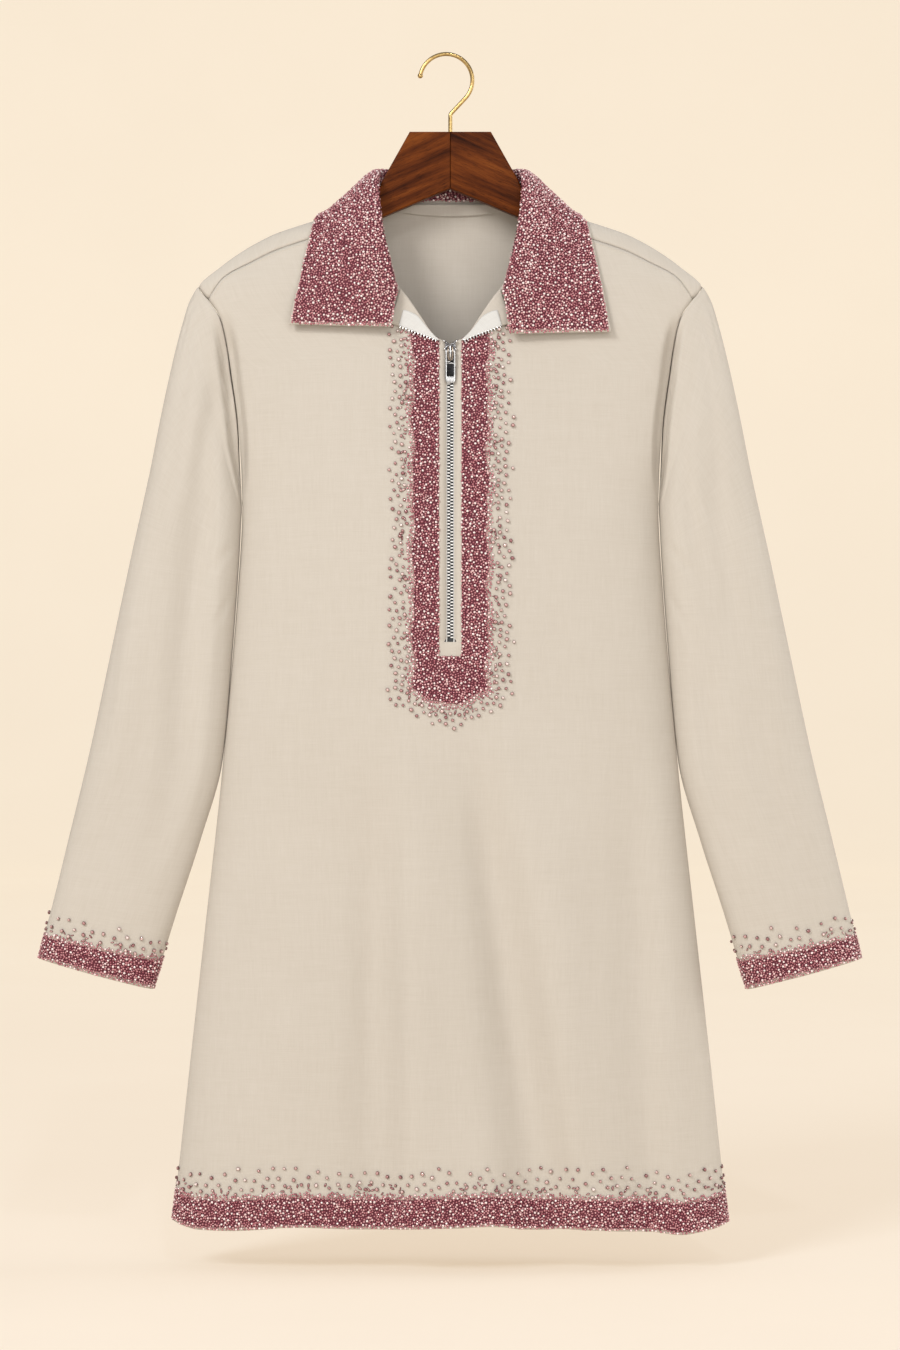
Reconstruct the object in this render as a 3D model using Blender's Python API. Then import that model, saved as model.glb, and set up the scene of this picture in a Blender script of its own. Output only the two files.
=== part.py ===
"""Half-zip tunic top with a beaded collar, hanging on a mitred wooden hanger.

Metres, +Z up, +X to the viewer's right, -Y towards the viewer. The origin is the point of the hook
that rests on a rail or nail. The body of the tunic is one pillow-like surface, read from BODY: at each
height it is a rounded lens, half_width wide and front_depth and back_depth deep. Every cloth piece is
a wall laid on that surface, or a tube that starts at its armhole.
"""

import math

import bmesh
import bpy
import numpy as np

# ---- Driving dimensions ----------------------------------------------------------------------------
CLOTH = 0.0016  # wall of the front, back and sleeves
COLLAR_CLOTH = 0.0020  # collar, two layers and an interlining
TAPE = 0.0008  # woven zip tape
TRIM_CLOTH = 0.0010  # facings and neck tape
SEAM = 0.0003  # space between two pieces that are sewn together
SHOULDER_GAP = 0.0012  # SEAM at the shoulder, as a difference of the roots in shoulder_row
NECK_TAPE_GAP = 0.0016  # from the back to the neck tape, which bridges its curve
ARMHOLE_SEAM = 0.0010  # the same at the armhole, where the walls turn towards each other
ARMHOLE_LIFT = 0.7  # share of that space by which a sleeve's seam is lowered over the shoulder
HEM_Z = -1.0695
UNDERARM_Z = -0.4150
LENS_POWER = 2.5  # how square the body's cross-section is: 2 is an ellipse
SLEEVE_POWER = 0.85  # how flat the sleeve's two faces are: 1 is an ellipse
NECK_TOP_Z = -0.1340
SLIT_HALF = 0.0056
SLIT_BOTTOM_Z = -0.5390
SLIDER_Z = -0.2660

WOOD_HALF_DEPTH = 0.0065
WOOD_BEVEL = 0.0015
WOOD_MITRE = 0.0003
WOOD_TOP = ((0.0373, -0.0700), (0.0626, -0.1150), (0.0700, -0.1315), (0.0775, -0.1465))
WOOD_ARM_X = (0.0900, 0.1100, 0.1350, 0.1600, 0.1850, 0.2050)
ARM_BELOW_RIDGE = 0.0095
WOOD_APEX_Z = -0.1219
WOOD_UNDER_SLOPE = 0.423
ARM_END_HEIGHT = 0.0110

WIRE_RADIUS = 0.0019
WIRE_SIDES = 10
LOOP_RADIUS = 0.02415  # of the hook's centre line
LOOP_X = -0.00385
LOOP_Z = -0.02190
LOOP_START = 170  # degrees, at the free end
LOOP_SWEEP = 213
LOOP_STEPS = 24
STEM_BEND_RADIUS = 0.0045
STEM_BEND_STEPS = 5
HOOK_TIP_RADII = (0.0013, 0.0025)  # the rounded free end

SLIDER_OUTLINE = (
    (-0.0046, 0.0),
    (-0.0046, 0.0045),
    (-0.0030, 0.0090),
    (0.0030, 0.0090),
    (0.0046, 0.0045),
    (0.0046, 0.0),
    (0.0034, -0.0085),
    (-0.0034, -0.0085),
)
SLIDER_BACK = 0.0004  # behind the front's outer face
SLIDER_FRONT = 0.0022
ARCH_HALF_WIDTH = 0.0013
ARCH_PROFILE = (  # (y from the slider's face, z from the hinge)
    (0.0005, -0.0062),
    (-0.0036, -0.0048),
    (-0.0046, -0.0026),
    (-0.0046, 0.0026),
    (-0.0036, 0.0048),
    (0.0005, 0.0062),
    (0.0005, 0.0036),
    (-0.0026, 0.0026),
    (-0.0034, 0.0012),
    (-0.0034, -0.0012),
    (-0.0026, -0.0026),
    (0.0005, -0.0036),
)
HINGE_BEFORE_SLIDER = 0.0016

AXIS_Z = -0.2745  # hinge of the pull tab
TAB_LENGTH = 0.0280
TAB_HALF_WIDTH = 0.0044
TAB_BAR = 0.0017  # at the hinge
TAB_RAIL = 0.0013
TAB_THICKNESS = 0.0014
TAB_HOLE_BOTTOM = -0.0098  # below the hinge
TAB_POCKET_HALF = 0.0031  # the sunk panel in the tab's face
TAB_POCKET_TOP = -0.0106
TAB_POCKET_BOTTOM = -0.0214
TAB_POCKET_DEPTH = 0.0006

TAPE_HALF_WIDTH = 0.0130
TAPE_BELOW_SLIT = 0.0120
CHAIN_HALF_WIDTH = 0.0026
CHAIN_SUNK = 0.0006  # its face, behind the front's outer face
CHAIN_THICKNESS = 0.0010
CHAIN_BELOW_SLIDER = 0.0090
CHAIN_ABOVE_SLIT_END = 0.0040
STRIP_ROWS = 12

NECK_TAPE_HALF = 0.0560
NECK_TAPE_DROPS = (0.0010, 0.0060, 0.0110)  # of its rows, under the neckline
NECK_TAPE_CELLS = 16

# The body's lens at each height. Above the underarm the half width goes on past the armhole, so that
# the armhole stays open, and then in over the shoulder.
BODY_COLUMNS = ("z", "half_width", "front_depth", "back_depth")
BODY = (
    (HEM_Z, 0.2560, 0.0500, 0.0460),
    (-1.0180, 0.2500, 0.0500, 0.0460),
    (-0.9000, 0.2370, 0.0490, 0.0450),
    (-0.7880, 0.2245, 0.0480, 0.0440),
    (-0.6700, 0.2115, 0.0470, 0.0430),
    (-0.5950, 0.2042, 0.0460, 0.0420),
    (-0.5000, 0.1962, 0.0450, 0.0410),
    (-0.4150, 0.1915, 0.0440, 0.0400),
    (-0.3450, 0.2070, 0.0410, 0.0390),
    (-0.2970, 0.2180, 0.0380, 0.0380),
    (-0.2430, 0.2320, 0.0330, 0.0350),
    (-0.2240, 0.2360, 0.0310, 0.0330),
    (-0.2130, 0.2345, 0.0300, 0.0320),
    (-0.1910, 0.2110, 0.0270, 0.0310),
    (-0.1640, 0.1660, 0.0240, 0.0290),
    (-0.1495, 0.1220, 0.0200, 0.0270),
    (-0.1400, 0.0920, 0.0170, 0.0250),
    (-0.1335, 0.0740, 0.0140, 0.0235),
    (-0.1200, 0.0480, 0.0100, 0.0180),
    (-0.1000, 0.0200, 0.0060, 0.0100),
)
# The largest folds, soft troughs that deepen towards the hem: (side, top x, top z, bottom x, half width,
# depth), side -1 on the front.
FOLDS = (
    (-1, 0.0260, -0.6000, 0.0800, 0.0460, 0.0085),
    (-1, -0.0700, -0.6300, -0.0680, 0.0400, 0.0070),
    (-1, 0.1630, -0.5600, 0.1800, 0.0420, 0.0062),
    (-1, -0.1600, -0.6200, -0.1850, 0.0380, 0.0050),
    (1, -0.0250, -0.3300, -0.0480, 0.0500, 0.0070),
    (1, 0.0880, -0.4500, 0.1060, 0.0480, 0.0065),
    (1, -0.1400, -0.5200, -0.1700, 0.0400, 0.0055),
    (1, 0.1650, -0.6400, 0.1900, 0.0360, 0.0045),
)
FOLD_GROWN = 0.6  # part of a fold's way down over which it deepens
SLEEVE_TROUGH = 0.0035  # depth of the soft trough down the middle of a sleeve's faces
TROUGH_SHARE = 0.3  # of the half depth, from which the trough is taken
EVEN_SECTION = 6  # the sleeve's section from which its points are evenly spaced

RIDGE_LOW_Z = -0.2240
RIDGE_HIGH_Z = -0.1000

# The armhole from the top of the shoulder to the underarm: (part of the way, x, z)
ARMHOLE_COLUMNS = ("part", "x", "z")
ARMHOLE = (
    (0.00, 0.2325, -0.2110),
    (0.08, 0.2295, -0.2165),
    (0.16, 0.2225, -0.2245),
    (0.30, 0.2100, -0.2450),
    (0.50, 0.2010, -0.2970),
    (0.70, 0.1950, -0.3450),
    (0.85, 0.1928, -0.3850),
    (1.00, 0.1915, -0.4150),
)
SHOULDER_SEAM_PART = 0.16  # where the forward shoulder seam meets the armhole
SHOULDER_SEAM_NECK = (0.0720, -0.1500)
# How far the shoulder seam is drawn up towards the shoulder line on its way to the armhole, in roots
# of the distance below that line: (part of the way, drawn up)
SHOULDER_DRAW = ((0.0, 0.0), (0.50, 0.0095), (0.73, 0.0155), (0.90, 0.0300), (1.0, 0.0))

# Rows of the front, from hem to shoulder seam: (centre x, centre z, side z). The side follows the side
# seam up to the underarm, and the armhole after it.
FRONT_ROWS = (
    (SLIT_HALF, HEM_Z, HEM_Z),
    (SLIT_HALF, -0.9000, -0.9000),
    (SLIT_HALF, -0.7000, -0.7000),
    (SLIT_HALF, SLIT_BOTTOM_Z, -0.5500),
    (SLIT_HALF, -0.4050, UNDERARM_Z),
    (SLIT_HALF, SLIDER_Z, -0.2950),
    (0.0157, -0.2590, -0.2850),
    (0.0279, -0.2410, -0.2730),
    (0.0389, -0.2250, -0.2610),
    (0.0495, -0.2110, -0.2500),
    (0.0590, -0.1900, -0.2400),
    (0.0665, -0.1690, -0.2310),
    (SHOULDER_SEAM_NECK[0], SHOULDER_SEAM_NECK[1], -0.2245),
)
FRONT_STEPS = (2, 3, 2, 3, 4, 1, 1, 1, 1, 1, 1, 1)
COLUMNS = 13  # cells from the centre of a panel to its side

# Heights of the level rows of the back, from the hem up to the underarm.
BACK_LOW_ROWS = (HEM_Z, -0.9600, -0.8300, -0.7000, -0.6000, -0.5000)
# Rows of the back from the underarm to the shoulder seam: (neck x, z at the neck or centre, armhole
# part)
BACK_ROWS = (
    (0.0000, -0.3950, 1.00),
    (0.0000, -0.3350, 0.85),
    (0.0000, -0.2800, 0.70),
    (0.0000, -0.2200, 0.50),
    (0.0000, -0.1750, 0.38),
    (0.0000, -0.1500, 0.29),
    (0.0000, NECK_TOP_Z, 0.22),
    (0.0250, NECK_TOP_Z, 0.16),
    (0.0480, NECK_TOP_Z, 0.11),
    (0.0640, NECK_TOP_Z, 0.06),
    (0.0710, NECK_TOP_Z, 0.03),
    (0.0753, NECK_TOP_Z, 0.00),
    (0.0750, -0.1375, -0.05),
    (0.0740, -0.1425, -0.10),
    (SHOULDER_SEAM_NECK[0], SHOULDER_SEAM_NECK[1], -0.16),
)

# A sleeve's sections, each a flattened ring between the outer and the inner edge of the sleeve:
# (outer_x, outer_z, inner_x, inner_z, half_depth)
SLEEVE = (
    (0.2400, -0.2255, 0.1930, -0.4190, 0.0180),
    (0.2470, -0.2480, 0.1935, -0.4230, 0.0205),
    (0.2551, -0.2800, 0.1945, -0.4280, 0.0235),
    (0.2660, -0.3300, 0.1950, -0.4370, 0.0260),
    (0.2763, -0.3820, 0.1960, -0.4500, 0.0280),
    (0.2942, -0.4630, 0.1990, -0.4820, 0.0290),
    (0.3130, -0.5520, 0.2035, -0.5480, 0.0285),
    (0.3324, -0.6426, 0.2125, -0.6480, 0.0270),
    (0.3500, -0.7150, 0.2335, -0.7220, 0.0245),
    (0.3646, -0.7750, 0.2541, -0.7900, 0.0215),
    (0.3784, -0.8294, 0.2717, -0.8579, 0.0180),
)

# The neckline, from the top of the V round to the centre back: (x, z, side), side -1 on the front.
NECKLINE = (
    (0.0495, -0.2110, -1),
    (0.0590, -0.1900, -1),
    (0.0665, -0.1690, -1),
    (0.0720, -0.1500, -1),
    (0.0745, -0.1405, -1),
    (0.0745, NECK_TOP_Z, 1),
    (0.0640, NECK_TOP_Z, 1),
    (0.0440, NECK_TOP_Z, 1),
    (0.0220, NECK_TOP_Z, 1),
    (0.0000, NECK_TOP_Z, 1),
)
# The collar at the same places: the roll at its top, a point a quarter of the way down its fall, and
# the fall's edge, each (x, y, z). The edge of the first row is the collar's point.
COLLAR_ROLL = (
    (0.0482, -0.0420, -0.2235),
    (0.0545, -0.0415, -0.1930),
    (0.0610, -0.0370, -0.1620),
    (0.0640, -0.0290, -0.1350),
    (0.0650, -0.0160, -0.1140),
    (0.0645, 0.0010, -0.1040),
    (0.0590, 0.0170, -0.1005),
    (0.0430, 0.0265, -0.0990),
    (0.0215, 0.0295, -0.0985),
    (0.0000, 0.0300, -0.0985),
)
COLLAR_QUARTER = (
    (0.0545, -0.0450, -0.2530),
    (0.0730, -0.0455, -0.2120),
    (0.0800, -0.0420, -0.1790),
    (0.0820, -0.0340, -0.1500),
    (0.0810, -0.0200, -0.1235),
    (0.0790, 0.0020, -0.1110),
    (0.0700, 0.0230, -0.1080),
    (0.0500, 0.0350, -0.1080),
    (0.0250, 0.0390, -0.1080),
    (0.0000, 0.0395, -0.1080),
)
COLLAR_EDGE = (
    (0.1465, -0.0370, -0.2500),
    (0.1415, -0.0320, -0.2245),
    (0.1360, -0.0270, -0.1980),
    (0.1300, -0.0200, -0.1740),
    (0.1235, -0.0090, -0.1530),
    (0.1150, 0.0080, -0.1480),
    (0.0980, 0.0300, -0.1530),
    (0.0680, 0.0380, -0.1560),
    (0.0340, 0.0400, -0.1570),
    (0.0000, 0.0405, -0.1570),
)
FALL_STEPS = 5
RIGHT_END_DROP = 0.0065  # the right-hand point hangs this much lower than the left
FOOT_LIFT = 0.0010  # of the collar's sewn edge, off the body's outer face
COLLAR_CLEARANCE = 0.0034  # from the body's outer face to the collar's
COLLAR_END_CLEARANCE = 0.0052  # the same at the front end, over the facing and its tape

# The turned-out facing beside the V: (V edge x, V edge z, outer x, outer z), from slider to V top.
FACING = (
    (0.0095, -0.2645, 0.0125, -0.2650),
    (0.0165, -0.2580, 0.0245, -0.2600),
    (0.0283, -0.2405, 0.0360, -0.2558),
    (0.0393, -0.2245, 0.0470, -0.2515),
    (0.0455, -0.2170, 0.0550, -0.2490),
)
TAPE_UPPER_PART = (0.05, 0.05, 0.15, 0.47)  # where the tape starts across the facing, row by row
FACING_STEPS = 3


# ---- Reading the tables ----------------------------------------------------------------------------
def smooth_read(keys, values, at):
    """The value at a key, on a monotone cubic through the table."""
    keys = np.asarray(keys, float)
    values = np.asarray(values, float)
    steps = np.diff(keys)
    slopes = np.diff(values) / steps
    tangents = np.zeros(len(keys))
    tangents[0] = slopes[0]
    tangents[-1] = slopes[-1]
    for i in range(1, len(keys) - 1):
        if slopes[i - 1] * slopes[i] > 0:
            tangents[i] = 2 * slopes[i - 1] * slopes[i] / (slopes[i - 1] + slopes[i])
    at = min(max(at, keys[0]), keys[-1])
    i = min(int(np.searchsorted(keys, at, side="right")) - 1, len(steps) - 1)
    t = (at - keys[i]) / steps[i]
    start = (1 + 2 * t) * (1 - t) ** 2 * values[i] + t * (1 - t) ** 2 * steps[i] * tangents[i]
    end = t * t * (3 - 2 * t) * values[i + 1] - t * t * (1 - t) * steps[i] * tangents[i + 1]
    return float(start + end)


def column(table, columns, name):
    place = columns.index(name)
    return [row[place] for row in table]


def body_value(name, z):
    return smooth_read(column(BODY, BODY_COLUMNS, "z"), column(BODY, BODY_COLUMNS, name), z)


def lerp(a, b, part):
    return tuple(p + (q - p) * part for p, q in zip(a, b))


# ---- The body's surface ----------------------------------------------------------------------------
def depth_at(x, z, side):
    """Distance of the surface from the plane y = 0: side is -1 on the front and 1 on the back."""
    reach = body_value("half_width", z)
    depth = body_value("front_depth" if side < 0 else "back_depth", z)
    rest = math.sqrt(max(1 - (abs(x) / reach) ** LENS_POWER, 0.0))
    return (depth - fold_depth(x, z, side)) * rest


def fold_depth(x, z, side):
    """How far the folds of one side push the surface in."""
    pushed = 0.0
    for fold_side, top_x, top_z, bottom_x, half_width, fold in FOLDS:
        if fold_side != side or z >= top_z:
            continue
        along = (top_z - z) / (top_z - HEM_Z)
        centre = top_x + (bottom_x - top_x) * along
        across = abs(x - centre) / (half_width * (0.7 + 0.3 * along))
        if across < 1:
            grown = min(along / FOLD_GROWN, 1)
            grown = grown * grown * (3 - 2 * grown)
            pushed += fold * grown * (1 + math.cos(math.pi * across)) / 2
    return pushed


def ridge_at(x):
    """Height of the shoulder line over x."""
    low, high = RIDGE_LOW_Z, RIDGE_HIGH_Z
    if abs(x) >= body_value("half_width", low):
        return low
    for _ in range(40):
        middle = (low + high) / 2
        if body_value("half_width", middle) > abs(x):
            low = middle
        else:
            high = middle
    return low


def outward(x, y, z):
    """Unit normal of the body's surface."""
    step = 1e-5

    def level(px, py, pz):
        reach = body_value("half_width", pz)
        depth = body_value("front_depth" if y < 0 else "back_depth", pz)
        return (abs(px) / reach) ** LENS_POWER + (py / depth) ** 2

    slope = np.array(
        [
            level(x + step, y, z) - level(x - step, y, z),
            level(x, y + step, z) - level(x, y - step, z),
            level(x, y, z + step) - level(x, y, z - step),
        ]
    )
    return slope / np.linalg.norm(slope)


def on_body(x, z, side, lift=0.0):
    """The point of the body's surface at x and z, moved out by lift."""
    y = side * depth_at(x, z, side)
    point = np.array([x, y, z])
    return point + lift * outward(x, y, z) if lift else point


def armhole_point(part):
    """The armhole's edge, (x, z), between the top of the shoulder at 0 and the underarm at 1 or -1. A
    part below 0 is on the front and one above 0 on the back."""
    parts = column(ARMHOLE, ARMHOLE_COLUMNS, "part")
    x = smooth_read(parts, column(ARMHOLE, ARMHOLE_COLUMNS, "x"), abs(part))
    z = smooth_read(parts, column(ARMHOLE, ARMHOLE_COLUMNS, "z"), abs(part))
    z = min(z, ridge_at(x))
    return x, z


def armhole_part_at(z):
    parts = column(ARMHOLE, ARMHOLE_COLUMNS, "part")
    heights = column(ARMHOLE, ARMHOLE_COLUMNS, "z")
    return smooth_read([-h for h in heights], parts, -z)


# ---- Making meshes ---------------------------------------------------------------------------------
def material(name, colour, roughness, metallic=0.0):
    made = bpy.data.materials.new(name)
    made.use_nodes = True
    shader = made.node_tree.nodes["Principled BSDF"]
    shader.inputs["Base Color"].default_value = (*colour, 1)
    shader.inputs["Roughness"].default_value = roughness
    shader.inputs["Metallic"].default_value = metallic
    return made


def add_object(name, points, faces, look, smooth=True):
    mesh = bpy.data.meshes.new(name)
    mesh.from_pydata([tuple(map(float, p)) for p in points], [], faces)
    work = bmesh.new()
    work.from_mesh(mesh)
    bmesh.ops.recalc_face_normals(work, faces=work.faces)
    work.to_mesh(mesh)
    work.free()
    mesh.materials.append(look)
    if smooth:
        mesh.shade_smooth()
        mesh.set_sharp_from_angle(angle=math.radians(40))
    made = bpy.data.objects.new(name, mesh)
    bpy.context.scene.collection.objects.link(made)
    return made


def sheet_normals(points, faces):
    """Area-weighted vertex normals of an open sheet."""
    normals = np.zeros_like(points)
    for face in faces:
        corners = points[list(face)]
        normal = np.cross(corners[2] - corners[0], corners[-1] - corners[1])
        for vertex in face:
            normals[vertex] += normal
    lengths = np.linalg.norm(normals, axis=1, keepdims=True)
    return normals / np.maximum(lengths, 1e-12)


def wall(name, points, faces, thickness, look, inward=None):
    """A closed wall: the sheet, a copy moved by thickness along inward, and rims that join them."""
    points = np.asarray(points, float)
    if inward is None:
        inward = -sheet_normals(points, faces)
    count = len(points)
    both = np.concatenate([points, points + thickness * np.asarray(inward)])
    rims = {}
    for face in faces:
        for a, b in zip(face, face[1:] + face[:1]):
            if (b, a) in rims:
                del rims[(b, a)]
            else:
                rims[(a, b)] = True
    solid = [tuple(face) for face in faces]
    solid += [tuple(v + count for v in reversed(face)) for face in faces]
    solid += [(b, a, a + count, b + count) for a, b in rims]
    return add_object(name, both, solid, look)


def grid_faces(rows, columns, closed=False, skip=None):
    faces = []
    for i in range(rows - 1):
        for j in range(columns if closed else columns - 1):
            if skip and skip(i, j):
                continue
            k = (j + 1) % columns
            faces.append((i * columns + j, i * columns + k, (i + 1) * columns + k, (i + 1) * columns + j))
    return faces


def mirrored(points):
    return [(-x, y, z) for x, y, z in points]


# ---- Front and back --------------------------------------------------------------------------------
def front_keys():
    """FRONT_ROWS with the steps between them filled in: (centre x, centre z, side z)."""
    filled = []
    for i, steps in enumerate(FRONT_STEPS):
        filled += [lerp(FRONT_ROWS[i], FRONT_ROWS[i + 1], k / steps) for k in range(steps)]
    return filled + [FRONT_ROWS[-1]]


def side_of_front(z):
    if z <= UNDERARM_Z:
        return body_value("half_width", z), z
    x, edge_z = armhole_point(-max(armhole_part_at(z), SHOULDER_SEAM_PART))
    return x, edge_z


def shoulder_row(start, end, bend, drawn):
    """Points from start to end, each (x, z, side). bend mixes a straight row with one that keeps its
    distance below the shoulder line. The root of that distance has a sign, which carries a row from
    the back face over the shoulder to the front face. drawn is the share of SHOULDER_DRAW it takes."""
    far_start = start[2] * math.sqrt(max(ridge_at(start[0]) - start[1], 0))
    far_end = end[2] * math.sqrt(max(ridge_at(end[0]) - end[1], 0))
    draw_keys, draws = zip(*SHOULDER_DRAW)
    row = []
    for j in range(COLUMNS + 1):
        part = j / COLUMNS
        part = (1 - bend) * math.sin(part * math.pi / 2) + bend * part
        x = start[0] + (end[0] - start[0]) * part
        far = far_start + (far_end - far_start) * part
        far -= math.copysign(drawn * smooth_read(draw_keys, draws, part), far)
        straight = start[1] + (end[1] - start[1]) * part
        z = (1 - bend) * straight + bend * (ridge_at(x) - far * far)
        row.append((x, z, 1 if far >= 0 else -1))
    return row


def to_sheet(rows, face):
    """Points and inward directions of rows of (x, z, side). A face of -1 or 1 keeps them on one side."""
    points = []
    inward = []
    for x, z, side in rows:
        y = side * depth_at(x, z, side)
        y = face * max(face * y, SEAM / 2) if face else y
        point = np.array([x, y, z])
        points.append(point)
        inward.append(-outward(x, y if abs(y) > 1e-6 else 1e-6, z))
    return points, inward


def make_front(look):
    keys = front_keys()
    rows = []
    for centre_x, centre_z, side_z in keys:
        bend = min(max((side_z - UNDERARM_Z) / (FRONT_ROWS[-1][2] - UNDERARM_Z), 0), 1) ** 2
        right = shoulder_row((centre_x, centre_z, -1), (*side_of_front(side_z), -1), bend, bend**4)
        rows += [(-x, z, side) for x, z, side in reversed(right)] + right
    points, inward = to_sheet(rows, -1)
    slit_row = sum(FRONT_STEPS[:3])
    faces = grid_faces(len(keys), 2 * COLUMNS + 2, skip=lambda i, j: i >= slit_row and j == COLUMNS)
    return wall("front", points, faces, CLOTH, look, inward)


def back_keys():
    """Rows of the back: start (x, z, side) at the centre or neck, end (x, z, side) at the side, and the
    bend and draw of shoulder_row."""
    keys = []
    for z in BACK_LOW_ROWS:
        keys.append(((0.0, z, 1), (body_value("half_width", z), z, 1), 0.0, 0.0))
    for x, z, part in BACK_ROWS:
        side = -1 if part < 0 else 1
        end_x, end_z = armhole_point(part)
        bend = 1 - min(max(part, 0), 1) ** 1.5
        drawn = (min(part, 0) / SHOULDER_SEAM_PART) ** 2
        keys.append(((x, z, side), (end_x, end_z, side), bend, drawn))
    return keys


def make_back(look):
    keys = back_keys()
    rows = []
    for key in keys:
        right = shoulder_row(*key)
        if key == keys[-1]:
            moved = []
            for x, z, side in right:
                far = math.sqrt(max(ridge_at(x) - z, 0)) - SHOULDER_GAP
                moved.append((x, ridge_at(x) - far * far, side))
            right = moved
        rows += [(-x, z, side) for x, z, side in reversed(right)][:-1] + right
    low = len(BACK_LOW_ROWS)
    width = 2 * COLUMNS + 1
    points, inward = to_sheet(rows, 0)
    for i in range(low + 1):
        for j in range(width):
            points[i * width + j][1] = max(points[i * width + j][1], SEAM / 2)
    neck_row = low + [x > 0 for x, _, _ in BACK_ROWS].index(True)
    faces = grid_faces(len(keys), width)
    points, inward, faces = open_neck(points, inward, faces, neck_row, width)
    return wall("back", points, faces, CLOTH, look, inward)


def open_neck(points, inward, faces, neck_row, width):
    """Above the neck's centre row the two halves part: their centre points become two."""
    points = list(points)
    inward = list(inward)
    centre = COLUMNS
    twins = {}
    rows = len(points) // width
    for i in range(neck_row, rows):
        twins[i * width + centre] = len(points)
        point = points[i * width + centre]
        points.append(np.array([-point[0], point[1], point[2]]))
        direction = inward[i * width + centre]
        inward.append(np.array([-direction[0], direction[1], direction[2]]))
    kept = []
    for number, face in enumerate(faces):
        left_half = number % (width - 1) < centre
        kept.append(tuple(twins.get(v, v) for v in face) if left_half else face)
    return points, inward, kept


# ---- Sleeves ---------------------------------------------------------------------------------------
def armhole_parts():
    """Places round the armhole where a row of the front or back ends: from over the shoulder, down the
    front to the underarm and up the back. Below 0 is the front."""
    over = [part for _, _, part in BACK_ROWS if part <= 0]
    heights = [z for _, _, z in front_keys() if UNDERARM_Z <= z < FRONT_ROWS[-1][2]]
    front = [-armhole_part_at(z) for z in reversed(heights)]
    back = [part for _, _, part in BACK_ROWS if 0 < part < 1]
    return over + front + back


def sleeve_rings():
    """Rings of a right sleeve, from the armhole to the cuff. They start with the places round the
    armhole and are evened out on the way down."""
    parts = armhole_parts()
    turns = [-part if part <= 0 else 2 - part for part in parts]
    front = parts.index(min(parts))
    back = len(parts) - front
    even = [j / front for j in range(front)] + [1 + j / back for j in range(back)]
    rings = [[]]
    for part in parts:
        x, z = armhole_point(part)
        side = -1 if part < 0 else 1
        y = side * depth_at(x, z, side)
        top = max(math.cos(math.pi * part), 0)
        rings[0].append((x + ARMHOLE_SEAM, y, z - ARMHOLE_LIFT * ARMHOLE_SEAM * top))
    for i, (outer_x, outer_z, inner_x, inner_z, half_depth) in enumerate(SLEEVE):
        ring = []
        mix = min(i / EVEN_SECTION, 1.0)
        trough = SLEEVE_TROUGH * math.sin(math.pi * i / (len(SLEEVE) - 1)) ** 2
        for turn, evened in zip(turns, even):
            angle = math.pi * (turn + mix * (evened - turn))
            along = (1 + math.cos(angle)) / 2
            rise = half_depth * abs(math.sin(angle)) ** SLEEVE_POWER
            rise -= trough * max(abs(math.sin(angle)) - 1 + TROUGH_SHARE, 0) / TROUGH_SHARE
            y = -math.copysign(rise, math.sin(angle))
            x = inner_x + (outer_x - inner_x) * along
            z = inner_z + (outer_z - inner_z) * along
            ring.append((x, y, z))
        rings.append(ring)
    return rings


def make_sleeve(name, sign, look):
    rings = sleeve_rings()
    points = np.array([point for ring in rings for point in ring])
    faces = grid_faces(len(rings), len(rings[0]), closed=True)
    if sign < 0:
        points = np.array(mirrored(points))
        faces = [tuple(reversed(face)) for face in faces]
    return wall(name, points, faces, CLOTH, look, -sheet_normals(points, faces))


# ---- Collar and neck tape --------------------------------------------------------------------------
def clear_of_body(point, gap):
    """The point, moved out where it is nearer than gap to the body's outer face."""
    point = np.array(point, float)
    for _ in range(6):
        x, y, z = point
        if z > RIDGE_HIGH_Z - 0.004:
            return point
        reach = body_value("half_width", z)
        depth = body_value("front_depth" if y < 0 else "back_depth", z)
        level = math.sqrt((abs(x) / reach) ** LENS_POWER + (y / depth) ** 2)
        step = 1e-5
        normal = outward(x, y, z)
        moved = point + step * normal
        reach = body_value("half_width", moved[2])
        depth = body_value("front_depth" if y < 0 else "back_depth", moved[2])
        slope = (math.sqrt((abs(moved[0]) / reach) ** LENS_POWER + (moved[1] / depth) ** 2) - level) / step
        distance = (level - 1) / max(slope, 1e-6)
        if distance >= gap - 1e-5:
            return point
        point = point + normal * (gap - distance)
    return point


def collar_section(i, end_drop=0.0):
    """One section of the collar, from the neck seam up to the roll and down the fall. end_drop lets
    the front end of the fall hang lower."""
    x, z, side = NECKLINE[i]
    seam = on_body(x, z, side)
    roll = np.array(COLLAR_ROLL[i])
    drop = np.array([0.0, 0.0, end_drop * max(1 - i / 5, 0)])
    quarter = np.array(COLLAR_QUARTER[i]) - drop
    edge = np.array(COLLAR_EDGE[i]) - drop
    opening = roll - seam
    opening[1] *= 0.2
    opening /= np.linalg.norm(opening)
    foot = seam + opening * 2 * SEAM + outward(*seam) * FOOT_LIFT
    section = [foot, (foot + roll) / 2, roll - (roll - foot) * 0.10]
    section.append(roll + (quarter - roll) * 0.35 + np.array([0, 0, 0.0012]))
    for k in range(FALL_STEPS + 1):
        part = k / FALL_STEPS
        point = quarter + (edge - quarter) * part
        clearance = COLLAR_END_CLEARANCE if i < 2 and k < 2 else COLLAR_CLEARANCE
        section.append(clear_of_body(point, clearance))
    return section


def make_collar(look):
    right = [collar_section(i, RIGHT_END_DROP) for i in range(len(NECKLINE))]
    left = [mirrored(collar_section(i)) for i in range(len(NECKLINE))]
    sections = left[:-1] + right[::-1]
    points = np.array([point for section in sections for point in section])
    faces = grid_faces(len(sections), len(right[0]))
    return wall("collar", points, faces, COLLAR_CLOTH, look)


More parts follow.
